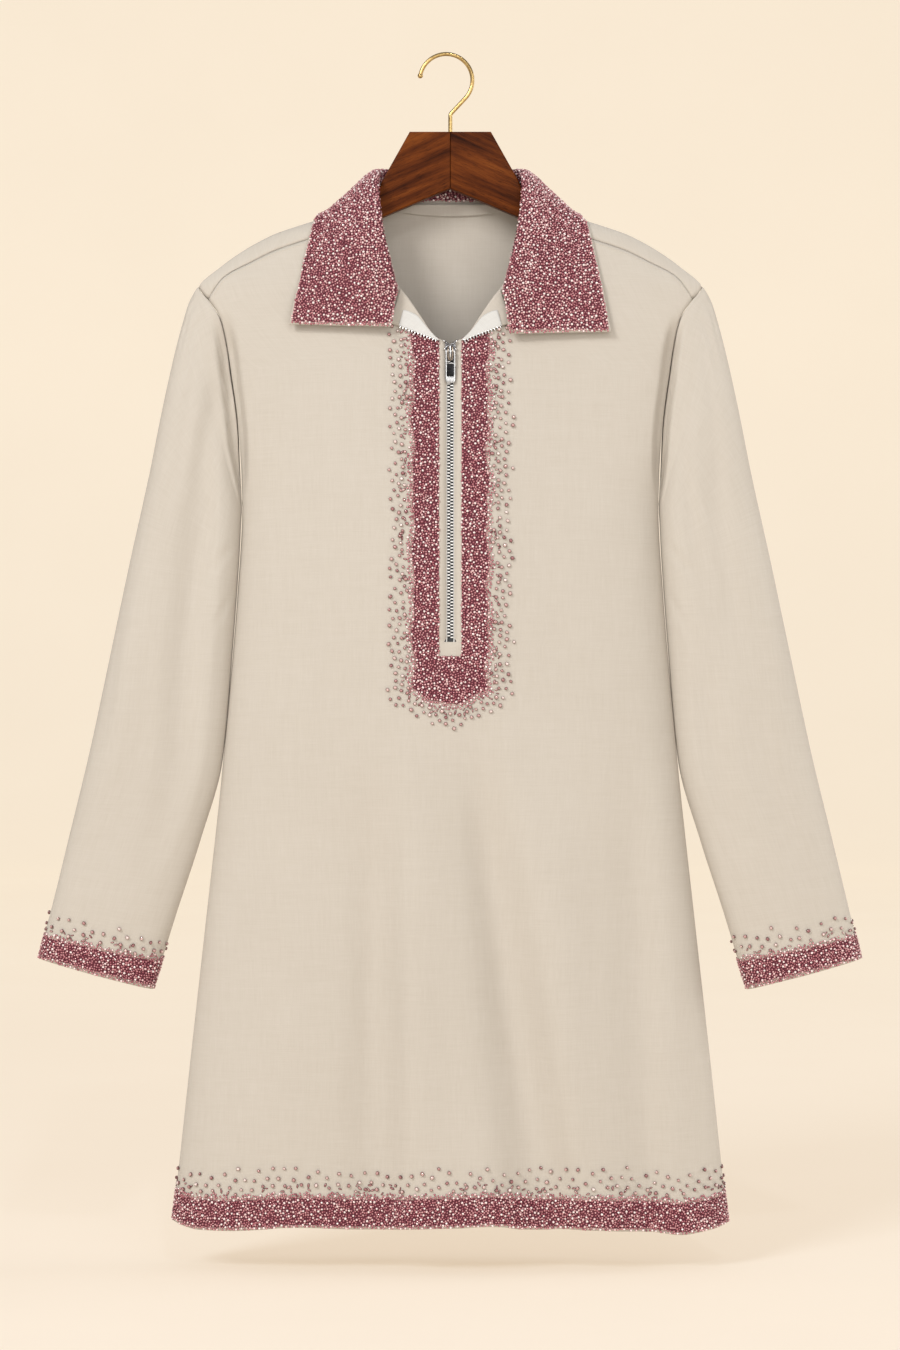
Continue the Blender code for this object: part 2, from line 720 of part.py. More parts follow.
def make_neck_tape(look):
    """A strip inside the back, just under the neck seam."""
    points = []
    for drop in NECK_TAPE_DROPS:
        for k in range(NECK_TAPE_CELLS + 1):
            x = NECK_TAPE_HALF * (2 * k / NECK_TAPE_CELLS - 1)
            points.append(on_body(x, NECK_TOP_Z - drop, 1, -(CLOTH + NECK_TAPE_GAP)))
    faces = grid_faces(len(NECK_TAPE_DROPS), NECK_TAPE_CELLS + 1)
    inward = np.array([-outward(x, y, z) for x, y, z in points])
    return wall("neck_tape", points, faces, TRIM_CLOTH, look, inward)


# ---- Facings, zip ----------------------------------------------------------------------------------
def facing_point(i, part, sign, lift):
    edge_x, edge_z, outer_x, outer_z = FACING[i]
    x, z = lerp((edge_x, edge_z), (outer_x, outer_z), part)
    return on_body(sign * x, z, -1, lift)


def make_turned_strip(name, sign, start_parts, lift, thickness, look):
    """A strip on the turned-out front: between start_parts across the facing and its outer edge."""
    points = []
    for i, start in enumerate(start_parts):
        for k in range(FACING_STEPS + 1):
            part = start + (1 - start) * k / FACING_STEPS
            points.append(facing_point(i, part, sign, lift))
    points = np.array(points)
    inward = np.array([-outward(x, y, z) for x, y, z in points])
    return wall(name, points, grid_faces(len(start_parts), FACING_STEPS + 1), thickness, look, inward)


def strip_down(name, half_width, top_z, bottom_z, depth, thickness, look):
    """A straight strip that follows the front's centre, depth behind its outer face."""
    points = []
    for i in range(STRIP_ROWS + 1):
        z = bottom_z + (top_z - bottom_z) * i / STRIP_ROWS
        for x in (-half_width, 0.0, half_width):
            points.append((x, -depth_at(0.0, z, -1) + depth, z))
    inward = np.tile([0.0, 1.0, 0.0], (len(points), 1))
    return wall(name, points, grid_faces(STRIP_ROWS + 1, 3), thickness, look, inward)


def prism(name, outlines, look):
    """A closed prism between two outlines, each a list of points in the same order."""
    count = len(outlines[0])
    points = [point for outline in outlines for point in outline]
    faces = [tuple(range(count)), tuple(reversed(range(count, 2 * count)))]
    faces += [(i, i + count, (i + 1) % count + count, (i + 1) % count) for i in range(count)]
    return add_object(name, points, faces, look, smooth=False)


def combine(made, tool, operation):
    """Cuts tool from made or joins it, and keeps the tool out of sight."""
    tool.hide_render = True
    tool.display_type = "WIRE"
    modifier = made.modifiers.new(tool.name, "BOOLEAN")
    modifier.operation = operation
    modifier.solver = "EXACT"
    modifier.object = tool


def make_slider(front_y, look):
    """The slider: a body with rounded shoulders and an arch that the tab's bar runs under. Returns
    the y of the hinge."""
    face = front_y - SLIDER_FRONT
    outlines = [[(x, y, AXIS_Z + z) for x, z in SLIDER_OUTLINE] for y in (face, front_y + SLIDER_BACK)]
    body = prism("zip_slider", outlines, look)
    outlines = []
    for x in (-ARCH_HALF_WIDTH, ARCH_HALF_WIDTH):
        outlines.append([(x, face + y, AXIS_Z + z) for y, z in ARCH_PROFILE])
    combine(body, prism("zip_arch_tool", outlines, look), "UNION")
    return face - HINGE_BEFORE_SLIDER


def make_tab(axis_y, look):
    """The pull tab: a plate hung by its top bar, with a hole for the slider's arch and a sunk panel."""
    pivot = bpy.data.objects.new("tab_pivot", None)
    pivot.location = (0.0, axis_y, AXIS_Z)
    bpy.context.scene.collection.objects.link(pivot)
    outer = rounded_outline(TAB_HALF_WIDTH, TAB_BAR / 2, -TAB_LENGTH, 0.0022)
    inner = rounded_outline(TAB_HALF_WIDTH - TAB_RAIL, -TAB_BAR / 2, TAB_HOLE_BOTTOM, 0.0012)
    count = len(outer)
    points = [(x, y, z) for y in (-TAB_THICKNESS / 2, TAB_THICKNESS / 2) for x, z in outer + inner]
    faces = []
    for i in range(count):
        k = (i + 1) % count
        for a, b in ((0, 1), (2, 0), (1, 3), (3, 2)):
            faces.append((a * count + i, a * count + k, b * count + k, b * count + i))
    tab = add_object("pull_tab", points, faces, look, smooth=False)
    floor = -TAB_THICKNESS / 2 + TAB_POCKET_DEPTH
    left, right = -TAB_POCKET_HALF, TAB_POCKET_HALF
    corners = (
        (left, TAB_POCKET_TOP),
        (right, TAB_POCKET_TOP),
        (right, TAB_POCKET_BOTTOM),
        (left, TAB_POCKET_BOTTOM),
    )
    outlines = [[(x, y, z) for x, z in corners] for y in (-TAB_THICKNESS, floor)]
    pocket = prism("tab_pocket_tool", outlines, look)
    combine(tab, pocket, "DIFFERENCE")
    tab.parent = pivot
    pocket.parent = pivot
    return tab


def rounded_outline(half_width, top, bottom, radius):
    """Points of a rectangle with rounded corners."""
    points = []
    corners = (
        (half_width - radius, top - radius, 0),
        (-half_width + radius, top - radius, 90),
        (-half_width + radius, bottom + radius, 180),
        (half_width - radius, bottom + radius, 270),
    )
    for x, z, start in corners:
        for k in range(5):
            angle = math.radians(start + 22.5 * k)
            points.append((x + radius * math.cos(angle), z + radius * math.sin(angle)))
    return points


# ---- Hanger ----------------------------------------------------------------------------------------
def make_wood(name, sign, look):
    top = [(WOOD_MITRE / 2, WOOD_TOP[0][1])] + list(WOOD_TOP)
    top += [(x, ridge_at(x) - ARM_BELOW_RIDGE) for x in WOOD_ARM_X]
    under = []
    for x, z in top:
        under.append((x, min(WOOD_APEX_Z - WOOD_UNDER_SLOPE * x, z - ARM_END_HEIGHT)))
    outline = top + under[::-1]
    outlines = [[(sign * x, y, z) for x, z in outline] for y in (-WOOD_HALF_DEPTH, WOOD_HALF_DEPTH)]
    made = prism(name, outlines, look)
    bevel = made.modifiers.new("eased edges", "BEVEL")
    bevel.width = WOOD_BEVEL
    bevel.segments = 1
    bevel.limit_method = "ANGLE"
    bevel.angle_limit = math.radians(60)
    return made


def hook_path():
    """Centre line of the hook from its free end: round the loop, straight down towards the middle,
    and with a bend into the stem."""
    path = []
    for k in range(LOOP_STEPS + 1):
        angle = math.radians(LOOP_START - LOOP_SWEEP * k / LOOP_STEPS)
        path.append((LOOP_X + LOOP_RADIUS * math.cos(angle), LOOP_Z + LOOP_RADIUS * math.sin(angle)))
    lean = math.radians(90 + LOOP_START - LOOP_SWEEP)  # of the straight part, from level
    slope = math.tan(lean)
    turn = math.pi / 2 - lean
    start_x, start_z = path[-1]
    bend_x = STEM_BEND_RADIUS * (1 - math.cos(turn))
    bend_z = start_z - (start_x - bend_x) * slope
    for k in range(STEM_BEND_STEPS + 1):
        angle = turn * (1 - k / STEM_BEND_STEPS)
        x = STEM_BEND_RADIUS * (1 - math.cos(angle))
        path.append((x, bend_z - STEM_BEND_RADIUS * (math.sin(turn) - math.sin(angle))))
    path.append((0.0, WOOD_TOP[0][1] + SEAM))
    return path


def make_hook(look):
    path = hook_path()
    rings = []
    radii = list(HOOK_TIP_RADII) + [WIRE_RADIUS] * (len(path) - len(HOOK_TIP_RADII))
    for i, (x, z) in enumerate(path):
        before = path[max(i - 1, 0)]
        after = path[min(i + 1, len(path) - 1)]
        along = np.array([after[0] - before[0], after[1] - before[1]])
        along = along / np.linalg.norm(along)
        if i == len(path) - 1:
            along = np.array([0.0, -1.0])
        for k in range(WIRE_SIDES):
            angle = 2 * math.pi * k / WIRE_SIDES
            across = radii[i] * math.cos(angle)
            rings.append((x - along[1] * across, radii[i] * math.sin(angle), z + along[0] * across))
    faces = grid_faces(len(path), WIRE_SIDES, closed=True)
    faces.append(tuple(range(WIRE_SIDES)))
    faces.append(tuple(reversed(range(len(rings) - WIRE_SIDES, len(rings)))))
    return add_object("hanger_hook", rings, faces, look)


def main():
    for old in list(bpy.data.objects):
        bpy.data.objects.remove(old, do_unlink=True)
    cloth = material("beige plain weave", (0.73, 0.65, 0.54), 0.85)
    beads = material("rose beading", (0.42, 0.13, 0.19), 0.45)
    tape = material("white zip tape", (0.85, 0.85, 0.84), 0.8)
    metal = material("nickel", (0.62, 0.61, 0.60), 0.3, 1.0)
    walnut = material("walnut", (0.13, 0.045, 0.018), 0.4)
    brass = material("brass", (0.55, 0.38, 0.14), 0.28, 1.0)

    make_front(cloth)
    make_back(cloth)
    make_sleeve("sleeve_left", -1, cloth)
    make_sleeve("sleeve_right", 1, cloth)
    make_collar(beads)
    make_neck_tape(cloth)
    for side, sign in (("left", -1), ("right", 1)):
        whole = [0.0] * len(FACING)
        make_turned_strip(f"facing_{side}", sign, whole, SEAM + TRIM_CLOTH, TRIM_CLOTH, cloth)
        lift = 2 * SEAM + TRIM_CLOTH + TAPE
        make_turned_strip(f"zip_tape_{side}", sign, TAPE_UPPER_PART, lift, TAPE, tape)
    tape_bottom = SLIT_BOTTOM_Z - TAPE_BELOW_SLIT
    strip_down("zip_tape", TAPE_HALF_WIDTH, SLIDER_Z, tape_bottom, CLOTH + SEAM, TAPE, tape)
    chain_top = AXIS_Z - CHAIN_BELOW_SLIDER
    chain_bottom = SLIT_BOTTOM_Z + CHAIN_ABOVE_SLIT_END
    strip_down("zip_chain", CHAIN_HALF_WIDTH, chain_top, chain_bottom, CHAIN_SUNK, CHAIN_THICKNESS, metal)
    slider_y = -depth_at(0.0, AXIS_Z, -1)
    axis_y = make_slider(slider_y, metal)
    make_tab(axis_y, metal)
    make_wood("hanger_wood_left", -1, walnut)
    make_wood("hanger_wood_right", 1, walnut)
    make_hook(brass)


main()
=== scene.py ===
"""Looks of the half-zip tunic top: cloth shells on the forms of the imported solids, beading, zip, hanger.

Metres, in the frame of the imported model: +Z up, +X to the viewer's right, -Y towards the viewer. The
body of the tunic is one pillow-like surface, read from BODY: at each height it is a rounded lens. The
front, the back and everything on them are placed on that surface, and a sleeve is a tube that starts at
its armhole.
"""

import math

import bmesh
import bpy
import numpy as np
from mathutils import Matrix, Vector
from mathutils.kdtree import KDTree


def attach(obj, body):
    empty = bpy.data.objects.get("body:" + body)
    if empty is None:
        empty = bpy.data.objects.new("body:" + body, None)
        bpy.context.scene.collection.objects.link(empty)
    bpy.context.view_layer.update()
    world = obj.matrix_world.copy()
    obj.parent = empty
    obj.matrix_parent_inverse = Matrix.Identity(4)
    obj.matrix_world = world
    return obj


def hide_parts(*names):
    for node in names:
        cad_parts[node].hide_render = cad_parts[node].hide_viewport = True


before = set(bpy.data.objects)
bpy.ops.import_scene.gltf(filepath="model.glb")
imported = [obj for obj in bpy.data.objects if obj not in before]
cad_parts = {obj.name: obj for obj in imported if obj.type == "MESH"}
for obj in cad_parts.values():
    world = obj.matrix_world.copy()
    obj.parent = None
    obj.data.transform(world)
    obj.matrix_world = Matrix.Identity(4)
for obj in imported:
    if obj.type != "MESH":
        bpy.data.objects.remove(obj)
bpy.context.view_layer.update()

# ---- Camera ----------------------------------------------------------------------------------------
CAMERA_DISTANCE = 3.2
VIEW_HEIGHT = 1.242  # of the picture, at the plane y = 0
VIEW_CENTRE = (-0.0003, -0.5690)
SENSOR = 36.0
CLIPPED = (0.05, 50)  # nearest and furthest distance that the camera sees

# ---- Sizes -----------------------------------------------------------------------------------------
SHELL = 0.0008  # thickness of the cloth
COLLAR_SHELL = 0.0018
TRIM_SHELL = 0.0006
SEAM = 0.0003  # gap between two pieces at a seam
HEM_Z = -1.0695
UNDERARM_Z = -0.4150
LENS_POWER = 2.5  # how square the body's cross-section is: 2 is an ellipse
SLEEVE_POWER = 0.85  # how full a sleeve's cross-section is: 1 is an ellipse
NECK_TOP_Z = -0.1340
SLIT_HALF = 0.0056
SLIT_LIP = 0.0021  # how far the cloth's folded edge reaches in over the zip tape
SLIT_BOTTOM_Z = -0.5390
SLIDER_Z = -0.2660
SIDES = (("left", -1), ("right", 1))
AXIS_Y = -0.0398866  # hinge of the pull tab
AXIS_Z = -0.2745
ARMHOLE_SEAM = 0.0003  # gap between a sleeve and the body
ARMHOLE_FOLD = 0.0100  # how deep the cloth turns in at the front of an armhole
ARMHOLE_VALLEY = {"left": 0.0052, "right": 0.0022}  # how far that runs out into the sleeve

BODY_VALUES = ("half_width", "front_depth", "back_depth")
BODY = (  # (z, then these values)
    (HEM_Z, 0.2560, 0.0500, 0.0460),
    (-1.0180, 0.2500, 0.0500, 0.0460),
    (-0.9000, 0.2370, 0.0490, 0.0450),
    (-0.7880, 0.2245, 0.0480, 0.0440),
    (-0.6700, 0.2115, 0.0470, 0.0430),
    (-0.5950, 0.2042, 0.0460, 0.0420),
    (-0.5000, 0.1962, 0.0450, 0.0410),
    (-0.4150, 0.1915, 0.0440, 0.0400),
    (-0.3450, 0.2070, 0.0410, 0.0390),
    (-0.2970, 0.2180, 0.0380, 0.0380),
    (-0.2430, 0.2320, 0.0330, 0.0350),
    (-0.2240, 0.2360, 0.0310, 0.0330),
    (-0.2130, 0.2345, 0.0300, 0.0320),
    (-0.1910, 0.2110, 0.0270, 0.0310),
    (-0.1640, 0.1660, 0.0240, 0.0290),
    (-0.1495, 0.1220, 0.0200, 0.0270),
    (-0.1400, 0.0920, 0.0170, 0.0250),
    (-0.1335, 0.0740, 0.0140, 0.0235),
    (-0.1200, 0.0480, 0.0100, 0.0180),
    (-0.1000, 0.0200, 0.0060, 0.0100),
)
# The largest folds: (side, top x, top z, bottom x, half width, depth), side -1 on the front.
FOLDS = (
    (-1, 0.0260, -0.6000, 0.0800, 0.0460, 0.0085),
    (-1, -0.0700, -0.6300, -0.0680, 0.0400, 0.0070),
    (-1, 0.1630, -0.5600, 0.1800, 0.0420, 0.0062),
    (-1, -0.1600, -0.6200, -0.1850, 0.0380, 0.0050),
    (1, -0.0250, -0.3300, -0.0480, 0.0500, 0.0070),
    (1, 0.0880, -0.4500, 0.1060, 0.0480, 0.0065),
    (1, -0.1400, -0.5200, -0.1700, 0.0400, 0.0055),
    (1, 0.1650, -0.6400, 0.1900, 0.0360, 0.0045),
)
FOLD_GROWN = 0.6  # part of a fold's way down over which it deepens
# Soft drapes of the front that fall away slowly on the left and rise quickly on the right: (x at the
# top, z at the top, x at the bottom, reach on the left, reach on the right, depth, depth of the rise)
DRAPES = (
    (-0.0720, -0.6000, -0.0700, 0.1200, 0.0340, 0.0080, 0.0034),
    (0.0100, -0.5900, 0.0960, 0.0620, 0.0340, 0.0072, 0.0034),
    (0.1600, -0.6000, 0.1800, 0.0680, 0.0280, 0.0058, 0.0024),
)
# Soft creases on the body: (side, x, z at the top, x, z at the bottom, half width,
# depth). A depth below 0 is a ridge.
CREASES = (
    (-1, 0.0120, -0.5800, 0.0920, -1.0900, 0.0280, 0.0022),
    (-1, 0.0180, -0.6400, 0.0800, -1.0500, 0.0140, 0.0012),
    (-1, -0.0740, -0.7400, -0.0720, -1.0200, 0.0130, 0.0008),
    (-1, -0.1960, -0.7000, -0.2080, -1.0900, 0.0240, 0.0016),
    (-1, -0.1180, -0.3000, -0.0980, -0.7400, 0.0280, 0.0012),
    (-1, 0.0780, -0.3400, 0.1050, -0.6200, 0.0240, 0.0010),
    (-1, -0.0330, -0.6800, -0.0220, -1.0700, 0.0280, -0.0026),
    (-1, 0.0980, -0.6600, 0.1180, -1.0700, 0.0320, -0.0026),
    (-1, -0.2060, -0.2500, -0.1890, -0.5200, 0.0110, 0.0022),
    (-1, 0.2060, -0.2480, 0.1880, -0.5300, 0.0110, 0.0022),
    (-1, -0.2100, -0.2250, -0.1780, -0.3350, 0.0080, 0.0012),
    (-1, 0.2110, -0.2270, 0.1820, -0.3200, 0.0075, 0.0011),
    (-1, -0.1780, -0.3900, -0.1500, -0.5600, 0.0120, -0.0009),
    (-1, 0.1820, -0.4100, 0.1600, -0.5300, 0.0110, -0.0008),
    (-1, 0.2140, -0.8200, 0.2300, -1.0500, 0.0140, 0.0011),
    (1, 0.0100, -0.2000, -0.0050, -0.9500, 0.0280, -0.0014),
    (1, -0.0900, -0.2600, -0.1050, -1.0400, 0.0240, 0.0013),
    (1, 0.0480, -0.4400, 0.0420, -1.0600, 0.0200, 0.0012),
    (1, 0.1380, -0.3000, 0.1500, -0.9000, 0.0260, -0.0012),
    (1, 0.2040, -0.2500, 0.1880, -0.5100, 0.0120, 0.0020),
    (1, -0.2040, -0.2500, -0.1890, -0.5400, 0.0120, 0.0020),
    (1, -0.1850, -0.3100, -0.1300, -0.5800, 0.0150, 0.0010),
    (1, 0.1800, -0.3300, 0.1150, -0.6100, 0.0140, 0.0010),
    (1, -0.1950, -0.7600, -0.2180, -1.0600, 0.0160, -0.0011),
)
# The hem's own soft waves: (wave number round the body, phase, how far it moves up and down, in and out)
HEM_WAVES = (
    (5, 0.60, 0.0013, 0.0016),
    (9, 2.10, 0.0009, 0.0012),
    (14, 4.00, 0.0005, 0.0007),
)
HEM_WAVE_REACH = 0.1600  # how far above the hem the waves die out
# How far the front's hem dips below its level: (x, dip)
HEM_DIPS = (
    (-0.2560, 0.0006),
    (-0.2450, 0.0045),
    (-0.2300, 0.0072),
    (-0.2000, 0.0074),
    (-0.1750, 0.0060),
    (-0.1500, 0.0034),
    (-0.1100, 0.0030),
    (-0.0550, 0.0034),
    (-0.0280, 0.0010),
    (-0.0050, -0.0014),
    (0.0200, -0.0004),
    (0.0460, 0.0014),
    (0.0640, 0.0052),
    (0.0830, 0.0064),
    (0.1050, 0.0042),
    (0.1380, 0.0026),
    (0.1560, 0.0036),
    (0.1850, 0.0058),
    (0.2120, 0.0090),
    (0.2300, 0.0074),
    (0.2450, 0.0050),
    (0.2560, 0.0016),
)

ARMHOLE = (  # (part of the way from the shoulder to the underarm, x, z)
    (0.00, 0.2325, -0.2110),
    (0.08, 0.2295, -0.2165),
    (0.16, 0.2225, -0.2245),
    (0.30, 0.2100, -0.2450),
    (0.50, 0.2010, -0.2970),
    (0.70, 0.1950, -0.3450),
    (0.85, 0.1928, -0.3850),
    (1.00, 0.1915, -0.4150),
)
SHOULDER_SEAM_PART = 0.16
SHOULDER_SEAM_NECK = (0.0720, -0.1500)
# How far the shoulder seam is drawn up towards the shoulder line on its way to the armhole, in roots
# of the distance below that line: (part of the way, drawn up)
SHOULDER_DRAW = ((0.0, 0.0), (0.50, 0.0095), (0.73, 0.0155), (0.90, 0.0300), (1.0, 0.0))

# Rows of the front, from hem to shoulder seam: (centre x, centre z, side z), and the cells between them
FRONT_ROWS = (
    (SLIT_HALF, HEM_Z, HEM_Z),
    (SLIT_HALF, -0.9000, -0.9000),
    (SLIT_HALF, -0.7000, -0.7000),
    (SLIT_HALF, SLIT_BOTTOM_Z, -0.5500),
    (SLIT_HALF, -0.4050, UNDERARM_Z),
    (SLIT_HALF, SLIDER_Z, -0.2950),
    (0.0157, -0.2590, -0.2850),
    (0.0279, -0.2410, -0.2730),
    (0.0389, -0.2250, -0.2610),
    (0.0495, -0.2110, -0.2500),
    (0.0590, -0.1900, -0.2400),
    (0.0665, -0.1690, -0.2310),
    (SHOULDER_SEAM_NECK[0], SHOULDER_SEAM_NECK[1], -0.2245),
)
FRONT_CELLS = (42, 46, 36, 32, 32, 3, 5, 5, 5, 5, 5, 5)
PANEL_COLUMNS = 68

# Rows of the back from hem to shoulder seam: (neck x, z at the neck or centre, armhole part). The rows
# below the underarm are level.
BACK_LOW_ROWS = (HEM_Z, -0.9600, -0.8300, -0.7000, -0.6000, -0.5000)
BACK_LOW_CELLS = (26, 28, 28, 22, 22, 22)
BACK_ROWS = (
    (0.0000, -0.3950, 1.00),
    (0.0000, -0.3350, 0.85),
    (0.0000, -0.2800, 0.70),
    (0.0000, -0.2200, 0.50),
    (0.0000, -0.1750, 0.38),
    (0.0000, -0.1500, 0.29),
    (0.0000, NECK_TOP_Z, 0.22),
    (0.0250, NECK_TOP_Z, 0.16),
    (0.0480, NECK_TOP_Z, 0.11),
    (0.0640, NECK_TOP_Z, 0.06),
    (0.0710, NECK_TOP_Z, 0.03),
    (0.0753, NECK_TOP_Z, 0.00),
    (0.0750, -0.1375, -0.05),
    (0.0740, -0.1425, -0.10),
    (SHOULDER_SEAM_NECK[0], SHOULDER_SEAM_NECK[1], -0.16),
)
BACK_CELLS = (12, 12, 12, 9, 6, 4, 5, 5, 4, 3, 3, 3, 3, 3)

# A sleeve's sections: (outer_x, outer_z, inner_x, inner_z, half_depth)
SLEEVE = (
    (0.2400, -0.2255, 0.1919, -0.4190, 0.0180),
    (0.2470, -0.2480, 0.1922, -0.4230, 0.0205),
    (0.2551, -0.2800, 0.1925, -0.4280, 0.0235),
    (0.2660, -0.3300, 0.1929, -0.4370, 0.0260),
    (0.2763, -0.3820, 0.1935, -0.4500, 0.0280),
    (0.2942, -0.4630, 0.1955, -0.4820, 0.0290),
    (0.3130, -0.5520, 0.2004, -0.5480, 0.0285),
    (0.3324, -0.6426, 0.2096, -0.6480, 0.0270),
    (0.3500, -0.7150, 0.2302, -0.7220, 0.0245),
    (0.3646, -0.7750, 0.2524, -0.7900, 0.0215),
    (0.3784, -0.8294, 0.2732, -0.8579, 0.0180),
)
SLEEVE_TROUGH = 0.0035  # how far the middle of a sleeve's faces sinks in
SLEEVE_COLUMNS = 108
SLEEVE_CELL = 0.0046  # length of a cell along a sleeve
# Creases of a sleeve: (turn, along at the start, turn, along at the end, half width, depth). A turn
# of 0 is the outer edge, 0.5 the middle of the front face, 1 the inner edge and 1.5 the back.
SLEEVE_CREASES = (
    (0.62, 0.06, 0.58, 0.48, 0.0120, 0.0020),
    (0.30, 0.02, 0.40, 0.26, 0.0130, 0.0012),
    (0.45, 0.50, 0.36, 0.86, 0.0180, 0.0012),
    (0.86, 0.22, 0.62, 0.34, 0.0090, 0.0012),
    (0.90, 0.34, 0.70, 0.43, 0.0080, 0.0010),
    (0.20, 0.36, 0.34, 0.66, 0.0160, -0.0010),
    (0.74, 0.58, 0.66, 0.93, 0.0150, -0.0009),
    (0.12, 0.015, 0.15, 0.10, 0.0060, 0.0012),
    (0.23, 0.012, 0.25, 0.12, 0.0060, 0.0011),
    (0.05, 0.02, 0.07, 0.08, 0.0050, 0.0009),
    (1.42, 0.08, 1.46, 0.52, 0.0130, 0.0018),
    (1.15, 0.24, 1.36, 0.35, 0.0090, 0.0012),
    (1.12, 0.38, 1.30, 0.45, 0.0085, 0.0010),
    (1.60, 0.48, 1.66, 0.88, 0.0170, 0.0012),
    (1.72, 0.20, 1.66, 0.50, 0.0150, -0.0010),
    (1.82, 0.02, 1.80, 0.11, 0.0060, 0.0010),
    (1.92, 0.03, 1.90, 0.09, 0.0050, 0.0008),
)
# Longer creases of one sleeve only
OWN_CREASES = {
    "left": ((0.49, -0.06, 0.66, 0.84, 0.0220, 0.0078), (0.27, 0.30, 0.34, 0.70, 0.0200, -0.0016)),
    "right": ((0.42, 0.08, 0.50, 0.52, 0.0190, 0.0036), (0.60, 0.40, 0.74, 0.90, 0.0200, 0.0030)),
}

# Sections of the collar from its front end to the middle of the back: its neck seam, (x, z, side), and
# its roll, the start of its fall and its outer edge, (x, y, z)
NECKLINE = (
    (0.0495, -0.2110, -1),
    (0.0590, -0.1900, -1),
    (0.0665, -0.1690, -1),
    (0.0720, -0.1500, -1),
    (0.0745, -0.1405, -1),
    (0.0745, NECK_TOP_Z, 1),
    (0.0640, NECK_TOP_Z, 1),
    (0.0440, NECK_TOP_Z, 1),
    (0.0220, NECK_TOP_Z, 1),
    (0.0000, NECK_TOP_Z, 1),
)
COLLAR_ROLL = (
    (0.0482, -0.0420, -0.2235),
    (0.0545, -0.0415, -0.1930),
    (0.0610, -0.0370, -0.1620),
    (0.0640, -0.0290, -0.1350),
    (0.0650, -0.0160, -0.1140),
    (0.0645, 0.0010, -0.1040),
    (0.0590, 0.0170, -0.1005),
    (0.0430, 0.0265, -0.0990),
    (0.0215, 0.0295, -0.0985),
    (0.0000, 0.0300, -0.0985),
)
COLLAR_QUARTER = (
    (0.0545, -0.0450, -0.2530),
    (0.0730, -0.0455, -0.2120),
    (0.0800, -0.0420, -0.1790),
    (0.0820, -0.0340, -0.1500),
    (0.0810, -0.0200, -0.1235),
    (0.0790, 0.0020, -0.1110),
    (0.0700, 0.0230, -0.1080),
    (0.0500, 0.0350, -0.1080),
    (0.0250, 0.0390, -0.1080),
    (0.0000, 0.0395, -0.1080),
)
COLLAR_EDGE = (
    (0.1465, -0.0370, -0.2500),
    (0.1415, -0.0320, -0.2245),
    (0.1360, -0.0270, -0.1980),
    (0.1300, -0.0200, -0.1740),
    (0.1235, -0.0090, -0.1530),
    (0.1150, 0.0080, -0.1480),
    (0.0980, 0.0300, -0.1530),
    (0.0680, 0.0380, -0.1560),
    (0.0340, 0.0400, -0.1570),
    (0.0000, 0.0405, -0.1570),
)
FALL_STEPS = 5
RIGHT_END_DROP = 0.0065  # how much lower the collar's right end hangs
FOOT_LIFT = 0.0010  # of the neck seam off the body
COLLAR_CLEARANCE = 0.0034  # least distance of the fall from the body
COLLAR_END_CLEARANCE = 0.0052  # the same near the front ends
COLLAR_FINER = 7  # cells of the shell for each of the solid's
NECK_TAPE_HALF = 0.056
STAND_BARE = 0.0030  # plain cloth of the collar above the neck seam

FACING = (  # (inner x, inner z, outer x, outer z)
    (0.0095, -0.2645, 0.0125, -0.2650),
    (0.0165, -0.2580, 0.0245, -0.2600),
    (0.0283, -0.2405, 0.0360, -0.2558),
    (0.0393, -0.2245, 0.0470, -0.2515),
    (0.0455, -0.2170, 0.0550, -0.2490),
)
FACING_LIFT = 0.0013  # off the body's surface
TAPE_LIFT = 0.0024
TAPE_START = (0.05, 0.05, 0.15, 0.47)  # how far across the facing's rows the tape begins

# ---- Beading ---------------------------------------------------------------------------------------
BEAD_RADIUS = 0.00104
BEAD_SPACING = 0.00186
PALE_HIGHLIGHT_BEAD_SIZE = 1.18  # of the pale beads among them, partly real pearly beads and partly painted highlights
PALE_HIGHLIGHT_BEAD_SPACING = 0.0034  # least distance between two of those
PEARL_RADIUS = 0.00170
DOME_SIDES = 8
SEED = 7
SAMPLES = {"collar": 190000, "placket": 170000, "hem": 120000, "cuff": 56000}  # places tried for beads
# Pearls beyond the dense beads: least distance between them, what it grows by on the way out, and the
# share of drops among them
BAND_PEARLS = (0.0060, 0.0042, 0.25)
PLACKET_PEARLS = (0.0042, 0.0026, 0.5)
WINDOW_HALF = 0.0098  # bare cloth beside the zip
WINDOW_BOTTOM_Z = -0.5515
WINDOW_EDGE = 0.0009  # over which the beading's tinted ground ends there
PLACKET_HALF = 0.0370
PLACKET_SIDE_BOTTOM_Z = -0.5830
PLACKET_POINT_Z = -0.5985
PLACKET_SCATTER = 0.0170
HEM_BAND = 0.0305
HEM_SCATTER = 0.0230
CUFF_BAND = 0.0270
CUFF_SCATTER = 0.0200
WASH_INSET = 0.0020  # of the beading's tinted ground from the edge of the dense beads
WASH_WIDTH = 0.0070
BARE_EDGE = 0.0014  # plain cloth at the very hem

# How deep and over what width the cloth turns in at its seams
SIDE_ROLL = {"front": 0.0010, "back": 0.0012}
SIDE_ROLL_WIDTH = 0.0024
TOP_ROLL = (0.0006, 0.0016)
SLEEVE_ROLL = (0.0008, 0.0022)


